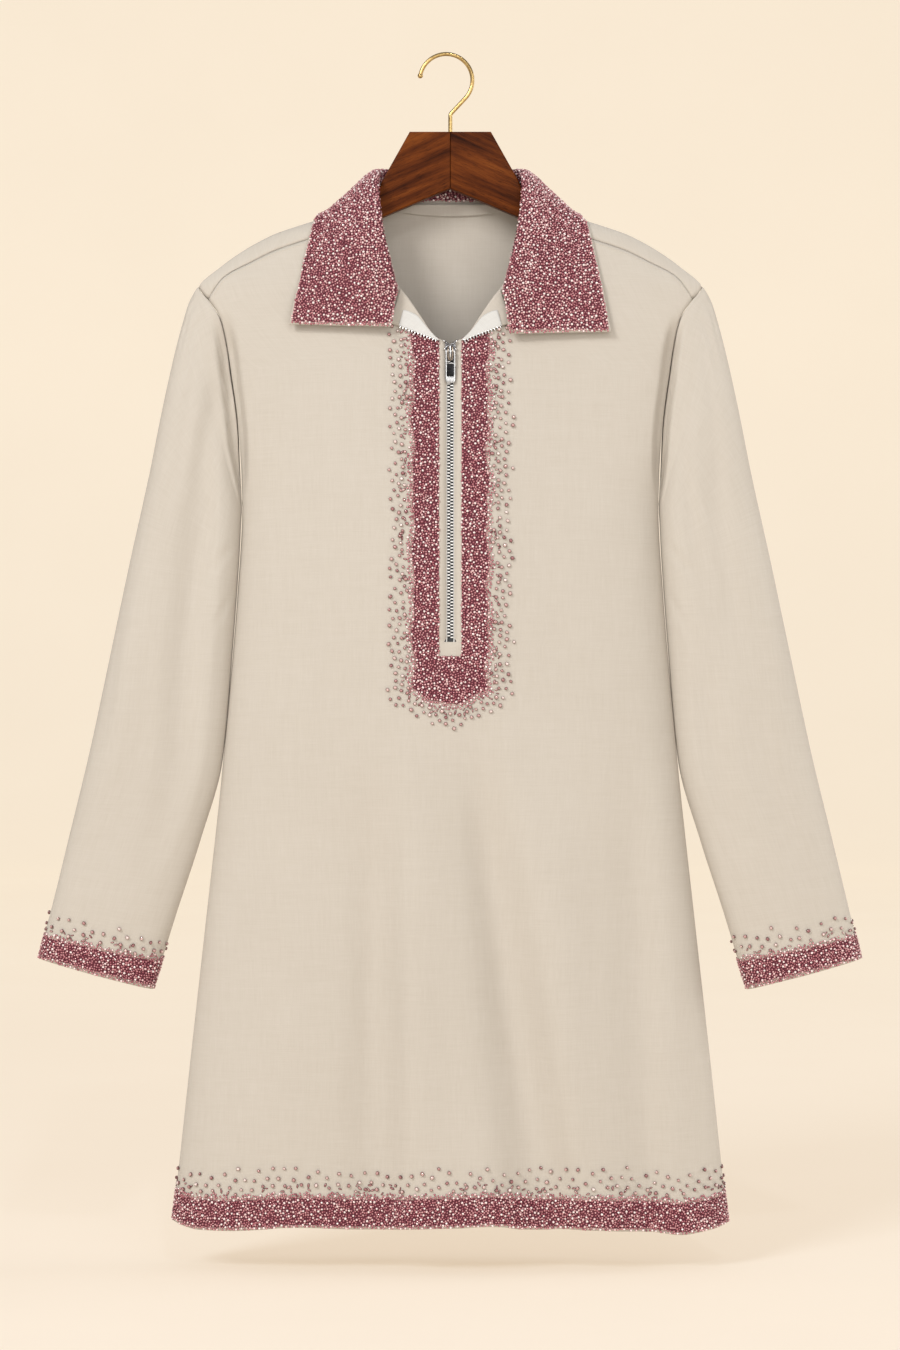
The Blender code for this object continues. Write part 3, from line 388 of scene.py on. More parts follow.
# ---- Reading the tables ----------------------------------------------------------------------------
def smooth_read(keys, values, at):
    """Values at each key asked for, on a monotone cubic through the table. values may hold points."""
    keys = np.asarray(keys, float)
    values = np.asarray(values, float)
    at = np.clip(np.asarray(at, float), keys[0], keys[-1])
    shape = (-1,) + (1,) * (values.ndim - 1)
    steps = np.diff(keys)
    slopes = np.diff(values, axis=0) / steps.reshape(shape)
    tangents = np.zeros_like(values)
    tangents[0] = slopes[0]
    tangents[-1] = slopes[-1]
    before = slopes[:-1]
    after = slopes[1:]
    turning = before * after > 0
    tangents[1:-1] = np.where(turning, 2 * before * after / np.where(turning, before + after, 1), 0)
    i = np.clip(np.searchsorted(keys, at, side="right") - 1, 0, len(steps) - 1)
    step = steps[i]
    t = (at - keys[i]) / step
    if values.ndim > 1:
        step = step.reshape(at.shape + (1,) * (values.ndim - 1))
        t = t.reshape(at.shape + (1,) * (values.ndim - 1))
    start = (1 + 2 * t) * (1 - t) ** 2 * values[i] + t * (1 - t) ** 2 * step * tangents[i]
    end = t * t * (3 - 2 * t) * values[i + 1] - t * t * (1 - t) * step * tangents[i + 1]
    return start + end


def refined(points, times):
    """Points with times as many steps between them, on a cubic through them."""
    steps = len(points) - 1
    return smooth_read(np.arange(steps + 1), points, np.linspace(0, steps, steps * times + 1))


def body_value(name, z):
    heights, *values = zip(*BODY)
    return smooth_read(heights, values[BODY_VALUES.index(name)], z)


def smoothstep(low, high, at):
    t = np.clip((at - low) / (high - low), 0, 1)
    return t * t * (3 - 2 * t)


# ---- The body's surface ----------------------------------------------------------------------------
def pushed_in(x, z, side):
    """How far the folds and creases of one side push the surface in."""
    pushed = np.zeros_like(x)
    for fold_side, top_x, top_z, bottom_x, half_width, fold in FOLDS:
        along = np.clip((top_z - z) / (top_z - HEM_Z), 0, None)
        centre = top_x + (bottom_x - top_x) * along
        across = np.clip(np.abs(x - centre) / (half_width * (0.7 + 0.3 * along)), 0, 1)
        grown = smoothstep(0, FOLD_GROWN, along)
        pushed += (side == fold_side) * fold * grown * (1 + np.cos(np.pi * across)) / 2
    for top_x, top_z, bottom_x, left, right, depth, rise in DRAPES:
        along = np.clip((top_z - z) / (top_z - HEM_Z), 0, None)
        away = x - (top_x + (bottom_x - top_x) * along)
        trough = np.where(away < 0, smoothstep(-left, 0, away), smoothstep(right, 0, away))
        ridge = smoothstep(right * 0.4, right * 1.3, away) * smoothstep(right * 3.0, right * 1.3, away)
        pushed += (side < 0) * smoothstep(0, 0.35, along) * (depth * trough - rise * ridge)
    for crease_side, top_x, top_z, bottom_x, bottom_z, half_width, depth in CREASES:
        along = (top_z - z) / (top_z - bottom_z)
        bend = 0.10 * np.sin(np.pi * along) * half_width * (1 if top_x > bottom_x else -1)
        centre = top_x + (bottom_x - top_x) * along + bend
        across = np.clip(np.abs(x - centre) / half_width, 0, 1)
        ends = smoothstep(0, 0.35, along) * smoothstep(1.08, 0.62, along)
        pushed += (side == crease_side) * depth * ends * (1 + np.cos(np.pi * across)) / 2
    return pushed


def zip_dip(x, z, side):
    """The cloth falls a little towards the zip."""
    near = np.exp(-((x / 0.0085) ** 2)) * smoothstep(-0.560, -0.545, z) * smoothstep(-0.262, -0.270, z)
    return 0.0010 * near * (side < 0)


def depth_at(x, z, side):
    """Distance of the surface from the plane y = 0: side is -1 on the front and 1 on the back."""
    x = np.asarray(x, float)
    z = np.asarray(z, float)
    side = np.broadcast_to(side, x.shape)
    reach = body_value("half_width", z)
    depth = np.where(side < 0, body_value("front_depth", z), body_value("back_depth", z))
    rest = np.sqrt(np.clip(1 - (np.abs(x) / reach) ** LENS_POWER, 0, None))
    return (depth - pushed_in(x, z, side) - zip_dip(x, z, side)) * rest


STEP = 1e-5  # over which slopes are measured
RIDGE_Z = np.linspace(-0.1000, -0.2240, 1500)
RIDGE_X = body_value("half_width", RIDGE_Z)


def ridge_at(x):
    """Height of the shoulder line over x."""
    return np.interp(np.abs(x), RIDGE_X, RIDGE_Z)


def level(x, y, z):
    """1 on the body's surface without its folds, and less inside it."""
    depth = np.where(y < 0, body_value("front_depth", z), body_value("back_depth", z))
    return (np.abs(x) / body_value("half_width", z)) ** LENS_POWER + (y / depth) ** 2


def outward(x, y, z):
    """Unit normals of the body's surface."""
    slope = [
        level(x + dx, y + dy, z + dz) - level(x - dx, y - dy, z - dz)
        for dx, dy, dz in ((STEP, 0, 0), (0, STEP, 0), (0, 0, STEP))
    ]
    return unit(np.stack(slope, axis=-1))


def on_body(x, z, side, lift=0.0):
    """Points of the body's surface at x and z, moved out by lift."""
    x = np.asarray(x, float)
    z = np.asarray(z, float)
    y = side * depth_at(x, z, side)
    points = np.stack([x, y, z], axis=-1)
    return points + lift * outward(x, y, z)


def armhole_point(part):
    """The armhole's edge: part runs from 0 over the shoulder to 1 at the underarm, and is below 0 on
    the front."""
    parts, edge_x, edge_z = zip(*ARMHOLE)
    x = smooth_read(parts, edge_x, np.abs(part))
    return x, np.minimum(smooth_read(parts, edge_z, np.abs(part)), ridge_at(x))


def armhole_fold(z):
    """How deep the front's armhole lies below the body's surface at a height."""
    return ARMHOLE_FOLD * smoothstep(-0.236, -0.275, z) * smoothstep(-0.412, -0.368, z)


def armhole_part_at(z):
    parts, _, heights = zip(*ARMHOLE)
    return smooth_read([-height for height in heights], parts, -np.asarray(z))


# ---- Grids and meshes ------------------------------------------------------------------------------
def grid_lengths(grid, axis, closed=False):
    """Distance along the rows or columns of a grid of points, from its first point."""
    if closed:
        grid = np.concatenate([grid, grid[:, :1]], axis=1)
    steps = np.linalg.norm(np.diff(grid, axis=axis), axis=2)
    start = np.zeros_like(steps.take([0], axis=axis))
    return np.concatenate([start, np.cumsum(steps, axis=axis)], axis=axis)


def along_path(path, lengths, at, values=None):
    """Points of a path, or values given at its points, at distances along it."""
    values = path if values is None else values
    return np.stack([np.interp(at, lengths, values[:, k]) for k in range(3)], axis=1)


def path_lengths(path):
    return np.concatenate([[0], np.cumsum(np.linalg.norm(np.diff(path, axis=0), axis=1))])


def unit(vectors):
    return vectors / np.maximum(np.linalg.norm(vectors, axis=-1, keepdims=True), 1e-12)


def grid_normals(grid, closed=False):
    """Unit normals of a grid of points, column direction by row direction."""
    if closed:
        along = np.roll(grid, -1, axis=1) - np.roll(grid, 1, axis=1)
    else:
        along = np.gradient(grid, axis=1)
    return unit(np.cross(along, np.gradient(grid, axis=0)))


def in_scene(name, data):
    made = bpy.data.objects.new(name, data)
    bpy.context.scene.collection.objects.link(made)
    return made


def object_from(work, name, looks):
    """A smooth object with the faces of a bmesh, all turned outwards."""
    bmesh.ops.recalc_face_normals(work, faces=work.faces)
    mesh = bpy.data.meshes.new(name)
    work.to_mesh(mesh)
    work.free()
    mesh.materials.append(looks)
    mesh.shade_smooth()
    return in_scene(name, mesh)


def quads(rows, columns, closed, keep):
    """Corner numbers of a grid's cells. keep says which cells there are."""
    i, j = np.meshgrid(np.arange(rows - 1), np.arange(columns if closed else columns - 1), indexing="ij")
    if keep is not None:
        there = keep(i, j)
        i = i[there]
        j = j[there]
    k = (j + 1) % columns
    corners = [i * columns + j, i * columns + k, (i + 1) * columns + k, (i + 1) * columns + j]
    return np.stack([c.ravel() for c in corners], axis=1)


def mesh_object(name, points, faces, looks, smooth=True, **attributes):
    """An object from arrays of points and of faces with one number of corners. attributes are values
    of the points."""
    points = np.asarray(points, float).reshape(-1, 3)
    faces = np.asarray(faces, np.int32)
    mesh = bpy.data.meshes.new(name)
    mesh.vertices.add(len(points))
    mesh.vertices.foreach_set("co", points.astype(np.float32).ravel())
    mesh.loops.add(faces.size)
    mesh.loops.foreach_set("vertex_index", faces.ravel())
    mesh.polygons.add(len(faces))
    mesh.polygons.foreach_set("loop_start", np.arange(0, faces.size, faces.shape[1], dtype=np.int32))
    mesh.update(calc_edges=True)
    for key, values in attributes.items():
        layer = mesh.attributes.new(key, "FLOAT", "POINT")
        layer.data.foreach_set("value", np.asarray(values, np.float32).ravel())
    mesh.materials.append(looks)
    if smooth:
        mesh.shade_smooth()
    mesh.validate()
    return in_scene(name, mesh)


def weave_map(mesh, across, along, columns, closed):
    """Lays the cloth's own measure, in metres, over its faces as a UV map: across and along have one
    value for each point, with one more column where the grid is closed."""
    wide = across.shape[1]
    loops = np.zeros(len(mesh.loops), np.int32)
    mesh.loops.foreach_get("vertex_index", loops)
    i = loops // columns
    j = loops % columns
    if closed:
        first = j.reshape(-1, 4)
        wraps = (first.max(axis=1) - first.min(axis=1)) > 1
        first[wraps] = np.where(first[wraps] == 0, columns, first[wraps])
        j = first.ravel()
    place = i * wide + j
    layer = mesh.uv_layers.new(name="weave")
    pairs = np.stack([across.ravel()[place], along.ravel()[place]], axis=1)
    layer.data.foreach_set("uv", pairs.astype(np.float32).ravel())


def cloth_from_grid(
    replaced, grid, looks, thickness, closed=False, flip=False, keep=None, uv=None, weld=0.0, **attributes
):
    """A shell from a grid of points, in place of a node, with the cloth's own measure as its UV map."""
    rows, columns = grid.shape[:2]
    faces = quads(rows, columns, closed, keep)
    if flip:
        faces = faces[:, ::-1]
    made = mesh_object(replaced + "_cloth", grid, faces, looks, **attributes)
    across, along = uv if uv else (grid_lengths(grid, 1, closed), grid_lengths(grid, 0))
    if closed and along.shape[1] == columns:
        along = np.concatenate([along, along[:, :1]], axis=1)
    weave_map(made.data, across, along, columns, closed)
    clean(made.data, weld)
    shell = made.modifiers.new("cloth", "SOLIDIFY")
    shell.thickness = thickness
    shell.offset = -1
    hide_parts(replaced)
    return made


def clean(mesh, weld):
    """Drops points that no face uses, and joins points that are no further apart than weld."""
    work = bmesh.new()
    work.from_mesh(mesh)
    loose = [v for v in work.verts if not v.link_faces]
    bmesh.ops.delete(work, geom=loose, context="VERTS")
    if weld:
        bmesh.ops.remove_doubles(work, verts=work.verts, dist=weld)
    work.to_mesh(mesh)
    work.free()


# ---- Materials -------------------------------------------------------------------------------------
def node(tree, kind, inputs=None, **settings):
    """A shader node. An input's value is a number, a colour or another node's output."""
    made = tree.nodes.new(kind)
    for name, value in settings.items():
        setattr(made, name, value)
    for key, value in (inputs or {}).items():
        if isinstance(value, bpy.types.NodeSocket):
            tree.links.new(value, made.inputs[key])
        else:
            made.inputs[key].default_value = value
    return made


def maths(tree, operation, a, b=0.0, c=0.5):
    return node(tree, "ShaderNodeMath", {0: a, 1: b, 2: c}, operation=operation).outputs[0]


def added(tree, a, a_share, b, b_share=1.0):
    """The sum of two values, each times its share."""
    parts = [maths(tree, "MULTIPLY", value, share) for value, share in ((a, a_share), (b, b_share))]
    return maths(tree, "ADD", *parts)


def ramp(tree, factor, stops):
    """A colour ramp: stops are (place, colour)."""
    made = node(tree, "ShaderNodeValToRGB", {"Fac": factor})
    band = made.color_ramp
    while len(band.elements) < len(stops):
        band.elements.new(0.5)
    for element, (place, colour) in zip(band.elements, stops):
        element.position = place
        element.color = (*colour, 1)
    return made.outputs["Color"]


def mix(tree, factor, a, b, blend="MIX"):
    made = node(tree, "ShaderNodeMix", data_type="RGBA", blend_type=blend)
    for name, value in (("Factor_Float", factor), ("A_Color", a), ("B_Color", b)):
        socket = next(s for s in made.inputs if s.identifier == name)
        if isinstance(value, bpy.types.NodeSocket):
            tree.links.new(value, socket)
        else:
            socket.default_value = value if name == "Factor_Float" else (*value, 1)
    return next(s for s in made.outputs if s.identifier == "Result_Color")


def noise(tree, vector, scale, detail=2.0, roughness=0.5):
    inputs = {"Vector": vector, "Scale": scale, "Detail": detail, "Roughness": roughness}
    return node(tree, "ShaderNodeTexNoise", inputs).outputs["Fac"]


def stretched(tree, vector, scale, turn=0.0):
    inputs = {"Vector": vector, "Scale": scale, "Rotation": (0, turn, 0)}
    return node(tree, "ShaderNodeMapping", inputs).outputs["Vector"]


def map_range(tree, value, low, high, to_low=0.0, to_high=1.0, kind="SMOOTHSTEP"):
    inputs = {"Value": value, "From Min": low, "From Max": high, "To Min": to_low, "To Max": to_high}
    return node(tree, "ShaderNodeMapRange", inputs, interpolation_type=kind).outputs["Result"]


def object_space(tree):
    return node(tree, "ShaderNodeTexCoord").outputs["Object"]


def attribute(tree, name):
    return node(tree, "ShaderNodeAttribute", attribute_name=name).outputs["Fac"]


def start_material(name, settings):
    made = bpy.data.materials.new(name)
    made.use_nodes = True
    shader = made.node_tree.nodes["Principled BSDF"]
    for key, value in settings.items():
        shader.inputs[key].default_value = value
    return made, made.node_tree, shader


def set_surface(tree, shader, colour, rough, height=None, strength=0.0, distance=0.0):
    """Links a colour, a roughness, which is (value, its share, what is added), and a bump."""
    tree.links.new(colour, shader.inputs["Base Color"])
    tree.links.new(maths(tree, "MULTIPLY_ADD", *rough), shader.inputs["Roughness"])
    if height is not None:
        inputs = {"Height": height, "Strength": strength, "Distance": distance}
        bump = node(tree, "ShaderNodeBump", inputs)
        tree.links.new(bump.outputs["Normal"], shader.inputs["Normal"])


CLOTH_LIGHT = (0.592, 0.547, 0.488)
CLOTH_DARK = (0.523, 0.475, 0.410)
ROSE_EDGE = (0.540, 0.370, 0.335)  # thin outer wash of the beading's ground
ROSE_GROUND_SHADED = (0.145, 0.034, 0.050)  # rose ground between the dense beads, darkened as painted shade in the gaps between them
THREAD = 0.00055  # from one thread of the weave to the next
WALNUT_STOPS = (
    (0.32, (0.022, 0.0045, 0.0010)),
    (0.43, (0.070, 0.0155, 0.0028)),
    (0.55, (0.130, 0.0310, 0.0050)),
    (0.70, (0.205, 0.0560, 0.0090)),
)


def weave_height(tree, uv, thread):
    """A plain weave: warp and weft pass over each other in turn."""
    split = node(tree, "ShaderNodeSeparateXYZ", {"Vector": uv})
    turns = [maths(tree, "MULTIPLY", split.outputs[axis], math.pi / thread) for axis in ("X", "Y")]
    over = maths(tree, "MULTIPLY", *[maths(tree, "SINE", turn) for turn in turns])
    return maths(tree, "MULTIPLY_ADD", over, 0.5, 0.5)


def outside_window(tree, where):
    """1 on the beaded cloth and 0 on the bare cloth beside the zip."""
    split = node(tree, "ShaderNodeSeparateXYZ", {"Vector": where})
    across = maths(tree, "SUBTRACT", maths(tree, "ABSOLUTE", split.outputs["X"]), WINDOW_HALF)
    below = maths(tree, "SUBTRACT", WINDOW_BOTTOM_Z, split.outputs["Z"])
    return map_range(tree, maths(tree, "MAXIMUM", across, below), 0.0, WINDOW_EDGE)


def cloth_material(name, light, dark, thread=THREAD, rose=False, window=False):
    """Cloth with slubs along both threads. rose tints it under the beading, but for the window, darker
    under dense beads as painted shade.
    """
    settings = {"Sheen Weight": 0.12, "Sheen Roughness": 0.45, "Specular IOR Level": 0.25}
    made, tree, shader = start_material(name, settings)
    uv = node(tree, "ShaderNodeUVMap", uv_map="weave").outputs["UV"]
    where = object_space(tree)

    def threads(fine, coarse):
        """Streaks along the warp and along the weft."""
        ways = [(fine, coarse, 1), (coarse, fine, 1)]
        return maths(tree, "ADD", *[noise(tree, stretched(tree, uv, way), 1.0, 3.0, 0.6) for way in ways])

    slub = threads(1100, 45)
    broad = maths(tree, "ADD", noise(tree, where, 7.0, 3.0), threads(240, 13))
    tone = added(tree, slub, 0.30, broad, 0.133)
    colour = ramp(tree, tone, ((0.34, dark), (0.66, light)))
    if rose:
        ragged = maths(tree, "SUBTRACT", noise(tree, where, 170.0, 4.0, 0.75), 0.80)
        edge = added(tree, attribute(tree, "rose"), 1.6, ragged)
        covered_and_shaded = map_range(tree, edge, 0.62, 0.95)
        share = maths(tree, "MULTIPLY_ADD", covered_and_shaded, 0.35, 0.65)
        share = maths(tree, "MULTIPLY", map_range(tree, edge, 0.30, 0.52), share)
        if window:
            share = maths(tree, "MULTIPLY", share, outside_window(tree, where))
        # painted shade: where beads are dense the ground darkens towards the shaded rose ground
        colour = mix(tree, share, colour, mix(tree, covered_and_shaded, ROSE_EDGE, ROSE_GROUND_SHADED))
    height = added(tree, weave_height(tree, uv, thread), 1.0, slub, 0.9)
    set_surface(tree, shader, colour, (slub, 0.12, 0.72), height, 0.35, 0.00012)
    return made


def bead_material(name, stops, painted_rim_shade, roughness, coat, heights=(0.15, 0.90)):
    """Glass beads: their own tone, an attribute of each bead, chooses the colour, and the colour is
    darkened towards the cloth as painted shade, a dark rim round a lighter middle: the third argument is
    what is left of the colour there, and heights are where it changes."""
    settings = {"Coat Weight": coat, "Coat Roughness": 0.06, "Specular IOR Level": 0.6}
    made, tree, shader = start_material(name, settings)
    mottle = noise(tree, object_space(tree), 900.0, 2.0)
    tone = added(tree, maths(tree, "SUBTRACT", mottle, 0.5), 0.10, attribute(tree, "tone"))
    colour = ramp(tree, tone, stops)
    # painted shade: each bead darkens towards the cloth, a dark rim round a lighter middle
    rim_shaded = mix(tree, 1.0, colour, painted_rim_shade, "MULTIPLY")
    colour = mix(tree, map_range(tree, attribute(tree, "height"), *heights), rim_shaded, colour)
    set_surface(tree, shader, colour, (mottle, 0.10, roughness))
    return made


def metal_material(name, colour, dull, roughness, scale, metallic=1.0):
    made, tree, shader = start_material(name, {"Metallic": metallic})
    where = object_space(tree)
    worn = noise(tree, where, scale, 4.0, 0.6)
    scratched = noise(tree, stretched(tree, where, (3000, 3000, 300)), 1.0, 2.0)
    colours = ramp(tree, worn, ((0.35, dull), (0.62, colour)))
    set_surface(tree, shader, colours, (worn, 0.18, roughness), scratched, 0.12, 0.00005)
    return made


def walnut_material(name, slope):
    """Oiled walnut whose grain runs along the hanger's arm, down at slope."""
    settings = {"Coat Weight": 0.0, "Coat Roughness": 0.3, "Specular IOR Level": 0.06}
    made, tree, shader = start_material(name, settings)
    grain = stretched(tree, object_space(tree), (1, 1, 1), turn=slope)
    drift = noise(tree, stretched(tree, grain, (9, 30, 60)), 1.0, 3.0)
    streak = noise(tree, stretched(tree, grain, (10, 60, 150)), 1.0, 5.0, 0.62)
    pores = noise(tree, stretched(tree, grain, (120, 900, 1700)), 1.0, 2.0, 0.5)
    pits = map_range(tree, pores, 0.36, 0.44, 0.55, 1.0, "LINEAR")
    colour = ramp(tree, added(tree, streak, 0.75, drift, 0.25), WALNUT_STOPS)
    colour = mix(tree, 1.0, colour, pits, "MULTIPLY")
    height = added(tree, pits, 1.0, streak, 0.5)
    set_surface(tree, shader, colour, (streak, -0.15, 0.46), height, 0.18, 0.0002)
    return made


def backdrop_material(name):
    settings = {"Roughness": 0.9, "Specular IOR Level": 0.1, "Emission Strength": 1.0}
    made, tree, shader = start_material(name, settings)
    where = object_space(tree)
    # painted light: the backdrop glows, more so towards the far wall, which keeps its shadows pale and
    # makes up for the light that the far wall doesn't get
    depth = node(tree, "ShaderNodeSeparateXYZ", {"Vector": where}).outputs["Y"]
    depth = map_range(tree, depth, GLOW_FROM, GLOW_TO, kind="LINEAR")
    glow = ramp(tree, depth, ((0.0, GLOW_NEAR), (1.0, GLOW_FAR)))
    tree.links.new(glow, shader.inputs["Emission Color"])
    plaster = noise(tree, where, 2.2, 5.0, 0.55)
    shade = tuple(c * 0.965 for c in BACKDROP)
    tree.links.new(ramp(tree, plaster, ((0.35, shade), (0.65, BACKDROP))), shader.inputs["Base Color"])
    return made


COTTON = cloth_material("beige_cotton", CLOTH_LIGHT, CLOTH_DARK, rose=True)
COTTON_FRONT = cloth_material("beige_cotton_front", CLOTH_LIGHT, CLOTH_DARK, rose=True, window=True)
COTTON_PLAIN = cloth_material("beige_cotton_plain", CLOTH_LIGHT, CLOTH_DARK)
TAPE_WHITE = cloth_material("white_tape", (0.70, 0.695, 0.675), (0.60, 0.595, 0.575), thread=0.0007)
ROSE_STOPS = (
    (0.00, (0.210, 0.040, 0.062)),
    (0.22, (0.400, 0.105, 0.140)),
    (0.45, (0.580, 0.240, 0.265)),
    (0.66, (0.740, 0.420, 0.430)),
    (0.80, (0.890, 0.630, 0.620)),
    (0.95, (0.990, 0.860, 0.840)),
)
ROSE_GLASS = bead_material("rose_glass", ROSE_STOPS, (0.46, 0.34, 0.36), 0.16, 0.6)
PEARL_STOPS = (
    (0.00, (0.310, 0.115, 0.120)),
    (0.35, (0.500, 0.265, 0.255)),
    (0.70, (0.690, 0.490, 0.455)),
    (1.00, (0.930, 0.840, 0.800)),
)
PEARL_GLASS = bead_material("taupe_pearl", PEARL_STOPS, (0.24, 0.12, 0.12), 0.18, 0.8, (0.35, 0.95))
NICKEL = metal_material("nickel", (0.92, 0.92, 0.91), (0.70, 0.70, 0.71), 0.14, 700.0)
TOOTH_NICKEL = metal_material("nickel_plate", (0.93, 0.93, 0.92), (0.80, 0.80, 0.80), 0.20, 700.0, 0.35)
# painted shade: a darkened copy of the nickel, for the slider's plate and wings
SHADED_NICKEL = metal_material("nickel_painted_shade", (0.26, 0.26, 0.27), (0.14, 0.14, 0.15), 0.20, 700.0)
# painted shade: a darker copy of the nickel, standing in for the darker reflections of the tab
SHADED_TAB_NICKEL = metal_material("nickel_tab_painted_shade", (0.60, 0.60, 0.60), (0.40, 0.40, 0.41), 0.18, 700.0)
# painted shadow: near black, for the dark opening of the pull tab
TAB_OPENING_PAINTED_SHADOW = metal_material("tab_opening_painted_shadow", (0.030, 0.030, 0.032), (0.012, 0.012, 0.013), 0.25, 500.0)
BRASS = metal_material("brass", (0.56, 0.40, 0.17), (0.40, 0.26, 0.10), 0.14, 260.0)
# painted shade: the tape behind the teeth is near black, for the shade between them
TAPE_PAINTED_SHADE = cloth_material("zip_tape_painted_shade", (0.075, 0.078, 0.080), (0.050, 0.053, 0.055))
CORD_WHITE = cloth_material("zip_cord", (0.74, 0.74, 0.73), (0.55, 0.55, 0.54), thread=0.0004)
BRONZE = metal_material("nickel_bronzed", (0.46, 0.38, 0.30), (0.28, 0.22, 0.17), 0.2, 700.0)
SEWING = cloth_material("thread", (0.70, 0.62, 0.52), (0.58, 0.50, 0.40), thread=0.0003)


# ---- Many small things in one mesh -----------------------------------------------------------------
def taken_from(work):
    """Points and faces of a bmesh."""
    points = np.array([v.co[:] for v in work.verts])
    faces = np.array([[v.index for v in f.verts] for f in work.faces])
    work.free()
    return points, faces


def unit_ball(subdivisions):
    work = bmesh.new()
    bmesh.ops.create_icosphere(work, subdivisions=subdivisions, radius=1.0)
    return taken_from(work)


def dome():
    """The upper part of a bead, a little flat, which sits on the cloth."""
    sides = DOME_SIDES
    points = [(0.0, 0.0, 1.0)]
    for radius, height, turn in ((0.78, 0.62, 0.5), (1.0, -0.25, 0.0)):
        for k in range(sides):
            angle = 2 * math.pi * (k + turn) / sides
            points.append((radius * math.cos(angle), radius * math.sin(angle), height))
    faces = []
    for k in range(sides):
        upper, upper_next = 1 + k, 1 + (k + 1) % sides
        lower, lower_next = 1 + sides + k, 1 + sides + (k + 1) % sides
        faces.append((0, upper, upper_next))
        faces.append((upper, lower_next, upper_next))
        faces.append((upper, lower, lower_next))
    return np.array(points), np.array(faces)


def frames_from(normals, tangents=None, rng=None):
    """Axes for each small thing: its third axis is the normal, and its first is the tangent or, without
    one, a random direction."""
    normals = unit(normals)
    if tangents is None:
        tangents = rng.normal(size=normals.shape)
    tangents = unit(tangents - normals * np.sum(tangents * normals, axis=1, keepdims=True))
    return np.stack([tangents, np.cross(normals, tangents), normals], axis=2)


def knob(name, place, radius, looks, fineness):
    """A small ball."""
    axes = frames_from(np.array([[0.0, -1.0, 0.0]]), np.array([[1.0, 0.0, 0.0]]))
    return copies(name, unit_ball(fineness), np.array([place]), axes, np.full((1, 3), radius), looks)


def copies(name, shape, centres, axes, sizes, looks, tones=None, smooth=True):
    """One mesh with a copy of shape at each centre, turned by its axes and scaled by its sizes."""
    points, faces = shape
    scaled = points[None, :, :] * sizes[:, None, :]
    placed = np.einsum("nij,nkj->nki", axes, scaled) + centres[:, None, :]
    numbered = faces[None, :, :] + (np.arange(len(centres)) * len(points))[:, None, None]
    given = {}
    if tones is not None:
        given["tone"] = np.repeat(tones, len(points))
        given["height"] = np.tile(points[:, 2], len(centres))
    return mesh_object(name, placed, numbered.reshape(-1, faces.shape[1]), looks, smooth, **given)


def grid_samples(grid, count, rng, closed=False):
    """Random places spread evenly by area over a grid: (points, normals, row, column)."""
    if closed:
        grid = np.concatenate([grid, grid[:, :1]], axis=1)
    a, b, c, d = grid[:-1, :-1], grid[:-1, 1:], grid[1:, 1:], grid[1:, :-1]
    area = np.linalg.norm(np.cross(c - a, d - b), axis=2).ravel()
    picked = rng.choice(len(area), size=count, p=area / area.sum())
    i, j = np.divmod(picked, a.shape[1])
    s = rng.random(count)[:, None]
    t = rng.random(count)[:, None]
    pa, pb, pc, pd = a[i, j], b[i, j], c[i, j], d[i, j]
    points = (1 - s) * (1 - t) * pa + s * (1 - t) * pb + s * t * pc + (1 - s) * t * pd
    normals = np.cross((pb - pa) * (1 - t) + (pc - pd) * t, (pd - pa) * (1 - s) + (pc - pb) * s)
    return points, unit(normals), i + t[:, 0], j + s[:, 0]


def look_up(values, rows, columns):
    """Values of a grid at fractional rows and columns."""
    i = np.minimum(rows.astype(int), values.shape[0] - 2)
    j = np.minimum(columns.astype(int), values.shape[1] - 2)
    t = rows - i
    s = columns - j
    low = values[i, j] * (1 - s) + values[i, j + 1] * s
    high = values[i + 1, j] * (1 - s) + values[i + 1, j + 1] * s
    return low * (1 - t) + high * t


def keep_apart(points, spacing):
    """Numbers of the points that keep their spacing from those already kept. spacing may differ."""
    spacing = np.broadcast_to(spacing, len(points))
    cell = float(spacing.max())
    cells = {}
    kept = []
    keys = np.floor(points / cell).astype(int)
    places = points.tolist()
    near = [(a, b, c) for a in (-1, 0, 1) for b in (-1, 0, 1) for c in (-1, 0, 1)]
    for n, (key, (x, y, z), gap) in enumerate(zip(keys.tolist(), places, spacing.tolist())):
        limit = gap * gap
        free = True
        for da, db, dc in near:
            for px, py, pz in cells.get((key[0] + da, key[1] + db, key[2] + dc), ()):
                if (px - x) ** 2 + (py - y) ** 2 + (pz - z) ** 2 < limit:
                    free = False
                    break
            if not free:
                break
        if free:
            cells.setdefault(tuple(key), []).append((x, y, z))
            kept.append(n)
    return np.array(kept, int)


def clear_of(points, others, gap):
    """Which points are further than gap from all the others."""
    tree = KDTree(len(others))
    for n, other in enumerate(others):
        tree.insert(Vector(other), n)
    tree.balance()
    return np.array([tree.find(Vector(p))[2] > gap for p in points])


